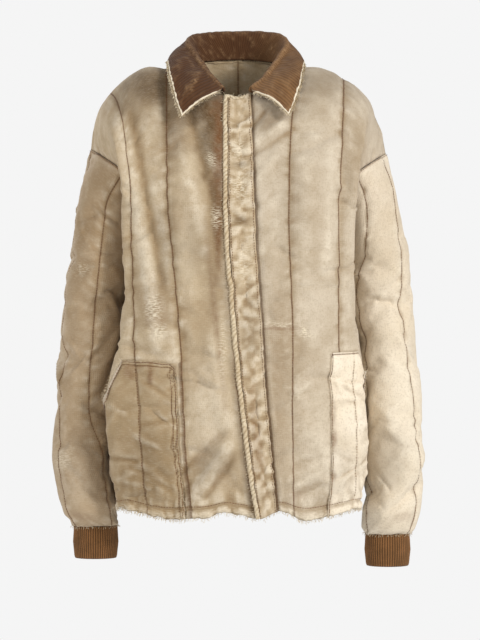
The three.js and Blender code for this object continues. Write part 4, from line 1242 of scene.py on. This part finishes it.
# Eight wales to 25 mm
wale = stripes(tree, chart["UV"], 50.0, 0.6)
nap = noise(tree, chart["Object"], 260.0, 3.0)
cloud = noise(tree, chart["Object"], 30.0, 5.0)
mark = read_marks(tree, ("ridge", "worn", "left"))
colour = layered(tree, "#573820", [
    # Painted light: the wearer's left half of the collar, on the side of the key light, is painted lighter
    (mark["left"], "#84603c"),
    (spread(tree, cloud, 0.35, 0.75, 0.7), "#4c301c"),
    # Painted shade in the grooves between the wales
    (spread(tree, wale, 0.45, 0.0, 0.45), "#38220f"),
    (combine(tree, "MULTIPLY", mark["ridge"], spread(tree, nap, 0.3, 0.65)), "#a8855f"),
    (spread(tree, mark["worn"], 0.35, 0.6), "#eadcc3"),
])
finish_cloth(tree, shader, colour, combine(tree, "ADD", wale, nap), 0.6, 0.0008)

ridge = relief(lift, 3)[0]
over_fold = bell(places - 3.2, 0.5)[:, None]
uneven = 0.35 * soft_noise(u, v, 4, 136)
collar = cloth_piece(
    "collar", grid, cord, corduroy, "corduroy", collar_inside, u=u, v=v, marks={
        "ridge": ramp(ridge + 0.5 * over_fold + patches(x, z, [[88, -96, 18, 22, 0, 0.8]], 137)),
        "worn": ramp(np.exp(-from_edge / 2.6) + uneven * np.exp(-from_edge / 8)) * on_fall,
        # The painted light of the wearer's left half
        "left": np.broadcast_to(ramp(at - 7.5, 3), x.shape),
    },
)
edge_way = direction(grid[-1] - grid[-3])
for repeat in range(3):
    fray(grid[-1], edge_way * 1.2, 0.8, 140 + repeat, 0.5)
for column, way in ((0, 1), (-1, -1)):
    end_way = np.broadcast_to(np.array([way * 0.8, -0.6, -0.2]), grid[22:, column].shape)
    fray(grid[22:, column], end_way, 0.5, 145 + way, 0.5)

# Cuffs. Thick brown rib knit, sewn to the gathered sleeve end and closed into a tube, with a folded lower
# edge. The ribs run down the arm and are real ridges in the knit.
ribs = 56
points_per_rib = 4
rib_knit = 2.6
cuff_height = 53
cuff_rows = 25
knit_round = 250
knit, tree, shader = new_material("brown rib knit", 0.95, 0.1)
chart = add_node(tree, "ShaderNodeTexCoord").outputs
# Knitted stitches of 2 mm
loops = stripes(tree, chart["UV"], 80.0, 1.0, "Y")
cloud = noise(tree, chart["Object"], 60.0, 4.0)
rib_mark = read_marks(tree, ("ridge",))["ridge"]
colour = layered(tree, "#8a6038", [
    (spread(tree, cloud, 0.35, 0.7), "#73502c"),
    # Painted shade in the grooves between the ribs
    (spread(tree, rib_mark, 0.75, 0.0), "#3d2612"),
])
finish_cloth(tree, shader, colour, loops, 0.4, 0.0005)
for side, name, seed in ((-1, "right", 151), (1, "left", 161)):
    top, _, outer_x, inner_x, front_y, back_y = sleeve_rings[side][-1]
    turns = np.arange(ribs * points_per_rib) / (ribs * points_per_rib)
    outline = ring_points([0, 0, outer_x, inner_x, front_y, back_y], turns)
    middle = np.array([(outer_x + inner_x) / 2, (front_y + back_y) / 2, 0])
    share = np.linspace(0, 1, cuff_rows)[:, None, None]
    scale = np.interp(share, [0, 0.06, 0.5, 1], [0.93, 0.965, 1.03, 0.985])
    sag = 1 + 0.02 * soft_noise(turns * 12, turns * 0, 2, seed)[None, :, None]
    grid = middle + (outline - middle) * scale * sag
    rib = (0.5 + 0.5 * np.cos(2 * math.pi * ribs * turns))[None, :]
    away = direction(grid - middle)
    fade = np.clip(share[..., 0] * 12, 0.3, 1)
    grid = grid + away * ((rib - 1) * 1.1 * fade)[..., None]
    grid[..., 2] = top - 0.5 - cuff_height * (1 - share[..., 0])
    u = np.broadcast_to(np.append(turns, 1) * knit_round, (cuff_rows, len(turns) + 1))
    cuff = cloth_piece(
        f"cuff_{name}", grid, knit, rib_knit, "rib_knit", middle * [1, 1, 0] + [0, 0, top - 25],
        wrapped=True, u=u, v=np.broadcast_to(share[..., 0] * cuff_height, u.shape),
        marks={"ridge": np.broadcast_to(rib, grid.shape[:2])},
    )

# Seam thread. Long running stitches of rust-brown thread, each a small rounded bar lying in the seam.
# Real ones are 3 mm long and 0.6 mm thick; they are drawn 1 mm thick so that they show.
def new_tree(name, sizes):
    """A tree of geometry nodes, mesh in and mesh out, with sizes in metres and a material, and its inputs."""
    tree = bpy.data.node_groups.new(name, "GeometryNodeTree")
    for way in ("INPUT", "OUTPUT"):
        tree.interface.new_socket(name="Geometry", in_out=way, socket_type="NodeSocketGeometry")
    for size, metres in sizes.items():
        socket = tree.interface.new_socket(name=size, in_out="INPUT", socket_type="NodeSocketFloat")
        socket.default_value = metres
    tree.interface.new_socket(name="Thread", in_out="INPUT", socket_type="NodeSocketMaterial")
    return tree, add_node(tree, "NodeGroupInput").outputs


def repeat_on_points(tree, points, thread, turn, size, material):
    """Ends a tree: lays the thread on each point, turned and sized, as real faces with the material."""
    sockets = {"Points": points, "Instance": thread, "Rotation": turn, "Scale": size}
    copies = add_node(tree, "GeometryNodeInstanceOnPoints", sockets)
    solid = add_node(tree, "GeometryNodeRealizeInstances", {0: copies.outputs[0]})
    coloured = add_node(tree, "GeometryNodeSetMaterial", {"Geometry": solid.outputs[0], "Material": material})
    add_node(tree, "NodeGroupOutput", {0: coloured.outputs[0]})


def uneven_length(tree, length, least, most, seed):
    share = add_node(tree, "FunctionNodeRandomValue", {2: least, 3: most, "Seed": seed}, data_type="FLOAT")
    return combine(tree, "MULTIPLY", length, share.outputs[1])


def thread_piece(name, mesh, tree, material):
    """Runs a tree on a mesh, leaves the result as a plain mesh and lets it ride on the jacket."""
    piece = new_object(name, mesh)
    modifier = piece.modifiers.new("repeat", "NODES")
    modifier.node_group = tree
    for item in tree.interface.items_tree:
        if item.in_out == "INPUT" and item.name == "Thread":
            modifier[item.identifier] = material
    evaluated = piece.evaluated_get(bpy.context.evaluated_depsgraph_get())
    made = bpy.data.meshes.new_from_object(evaluated)
    piece.modifiers.remove(modifier)
    piece.data = made
    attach(piece, "root")


def thread_material(name, colour, dark):
    material, tree, shader = new_material(name, 0.8, 0.1)
    ply = noise(tree, add_node(tree, "ShaderNodeTexCoord").outputs["Object"], 90.0, 3.0)
    shade = layered(tree, colour, [(spread(tree, ply, 0.35, 0.65), dark)])
    tree.links.new(shade, shader.inputs["Base Color"])
    return material


tree, given = new_tree("running stitch", {"Pitch": 0.0044, "Length": 0.0036, "Thickness": 0.001})
path = add_node(tree, "GeometryNodeMeshToCurve", {"Mesh": given["Geometry"]})
sockets = {"Curve": path.outputs[0], "Length": given["Pitch"]}
points = add_node(tree, "GeometryNodeCurveToPoints", sockets, mode="LENGTH").outputs
bar = add_node(tree, "GeometryNodeMeshUVSphere", {"Segments": 6, "Rings": 4, "Radius": 0.5})
length = uneven_length(tree, given["Length"], 0.75, 1.12, 7)
size = add_node(tree, "ShaderNodeCombineXYZ", {0: given["Thickness"], 1: given["Thickness"], 2: length})
repeat_on_points(tree, points["Points"], bar.outputs[0], points["Rotation"], size.outputs[0], given["Thread"])

starts = np.cumsum([0] + [len(line) for line in stitch_lines])
seam_edges = [(k, k + 1) for a, b in zip(starts, starts[1:]) for k in range(a, b - 1)]
seam_mesh = bpy.data.meshes.new("seam_stitches")
seam_mesh.from_pydata((np.concatenate(stitch_lines) / 1000).tolist(), seam_edges, [])
rust_thread = thread_material("rust-brown cotton thread", "#7c4f2a", "#59371c")
thread_piece("seam_stitches", seam_mesh, tree, rust_thread)

# Loose threads. Raw hem, collar, pocket and sleeve edges fray into short bent ends of cream yarn.
# Each is a thin three-sided bent strand; real yarn is 0.3 mm thick and is drawn at 0.5 mm.
tree, given = new_tree("frayed edge", {"Length": 0.0042})
points = add_node(tree, "GeometryNodeMeshToPoints", {"Mesh": given["Geometry"]})
bend = add_node(tree, "GeometryNodeCurveQuadraticBezier",
                {"Resolution": 4, "Start": (0, 0, 0), "Middle": (0.25, 0.1, 0.5), "End": (-0.15, 0, 1)})
# The yarn's radius is a share of the strand's length
yarn = add_node(tree, "GeometryNodeCurvePrimitiveCircle", {"Resolution": 3, "Radius": 0.06}, mode="RADIUS")
sockets = {"Curve": bend.outputs[0], "Profile Curve": yarn.outputs[0], "Fill Caps": True}
strand = add_node(tree, "GeometryNodeCurveToMesh", sockets)
lean = add_node(tree, "GeometryNodeInputNamedAttribute", {"Name": "lean"}, data_type="FLOAT_VECTOR")
turn = add_node(tree, "FunctionNodeAlignRotationToVector", {"Vector": lean.outputs[0]}, axis="Z")
length = uneven_length(tree, given["Length"], 0.4, 1.4, 3)
repeat_on_points(tree, points.outputs[0], strand.outputs[0], turn.outputs[0], length, given["Thread"])

fray_mesh = bpy.data.meshes.new("loose_threads")
fray_mesh.from_pydata((np.concatenate(fray_points) / 1000).tolist(), [], [])
leans = fray_mesh.attributes.new("lean", "FLOAT_VECTOR", "POINT")
leans.data.foreach_set("vector", np.concatenate(fray_leans).ravel().astype(np.float32))
thread_piece("loose_threads", fray_mesh, tree, thread_material("frayed cream yarn", "#e6d8bd", "#bfa983"))

# Studio. A plain pale floor far below, as under a worn jacket, a broad soft key from the viewer's right,
# weaker lights from the left and the front, one behind for the bright edges, and a white surround. The
# camera is the photograph's: level, straight on, 3.5 m away, where 1.056 m fills the picture's height.
floor_reach = 2.8
floor_level = -1.45
camera_away = 3.5
seen_height = 1.056
film = 36
floor_mesh = bpy.data.meshes.new("floor")
corners = [(a * floor_reach, b * floor_reach, floor_level) for a, b in ((-1, -1), (1, -1), (1, 1), (-1, 1))]
floor_mesh.from_pydata(corners, [], [(0, 1, 2, 3)])
floor = new_object("floor", floor_mesh)
floor_paint = new_material("pale matt floor", 0.9)[0]
floor_paint.node_tree.nodes["Principled BSDF"].inputs["Base Color"].default_value = linear("#e9e9e9")
floor_mesh.materials.append(floor_paint)

world = bpy.data.worlds.new("white surround")
world.use_nodes = True
surround = world.node_tree.nodes["Background"].inputs
surround[0].default_value = linear("#f5f5f5")
seen = add_node(world.node_tree, "ShaderNodeLightPath").outputs["Is Camera Ray"]
strength = spread(world.node_tree, seen, 0.0, 1.0)
# Half as strong on the jacket as it looks to the camera
strength.node.inputs["To Min"].default_value = 0.5
world.node_tree.links.new(strength, surround[1])
bpy.context.scene.world = world
bpy.context.scene.view_settings.view_transform = "Standard"


def soft_light(name, place, aim, width, power):
    lamp = bpy.data.lights.new(name, "AREA")
    lamp.size = width
    lamp.energy = power
    source = new_object(name, lamp)
    away = np.array(place) - np.array(aim)
    source.location = place
    source.rotation_euler = (
        math.atan2(math.hypot(away[0], away[1]), away[2]), 0, math.atan2(away[0], -away[1]),
    )


soft_light("key", (2.7, -2.5, 0.9), (0, 0, -0.45), 1.0, 94)
soft_light("left", (-3.0, -1.5, 0.1), (0, 0, -0.45), 1.2, 26)
soft_light("front", (-0.5, -3.7, 0.7), (0, 0, -0.4), 1.6, 24)
soft_light("back", (-1.8, 3.0, 1.4), (0, 0, -0.4), 1.4, 60)

camera_data = bpy.data.cameras.new("camera")
camera_data.lens = film * camera_away / seen_height
camera_data.sensor_width = film
camera = new_object("camera", camera_data)
camera.location = (0.0033, -camera_away, -0.4125)
camera.rotation_euler = (math.pi / 2, 0, 0)
bpy.context.scene.camera = camera
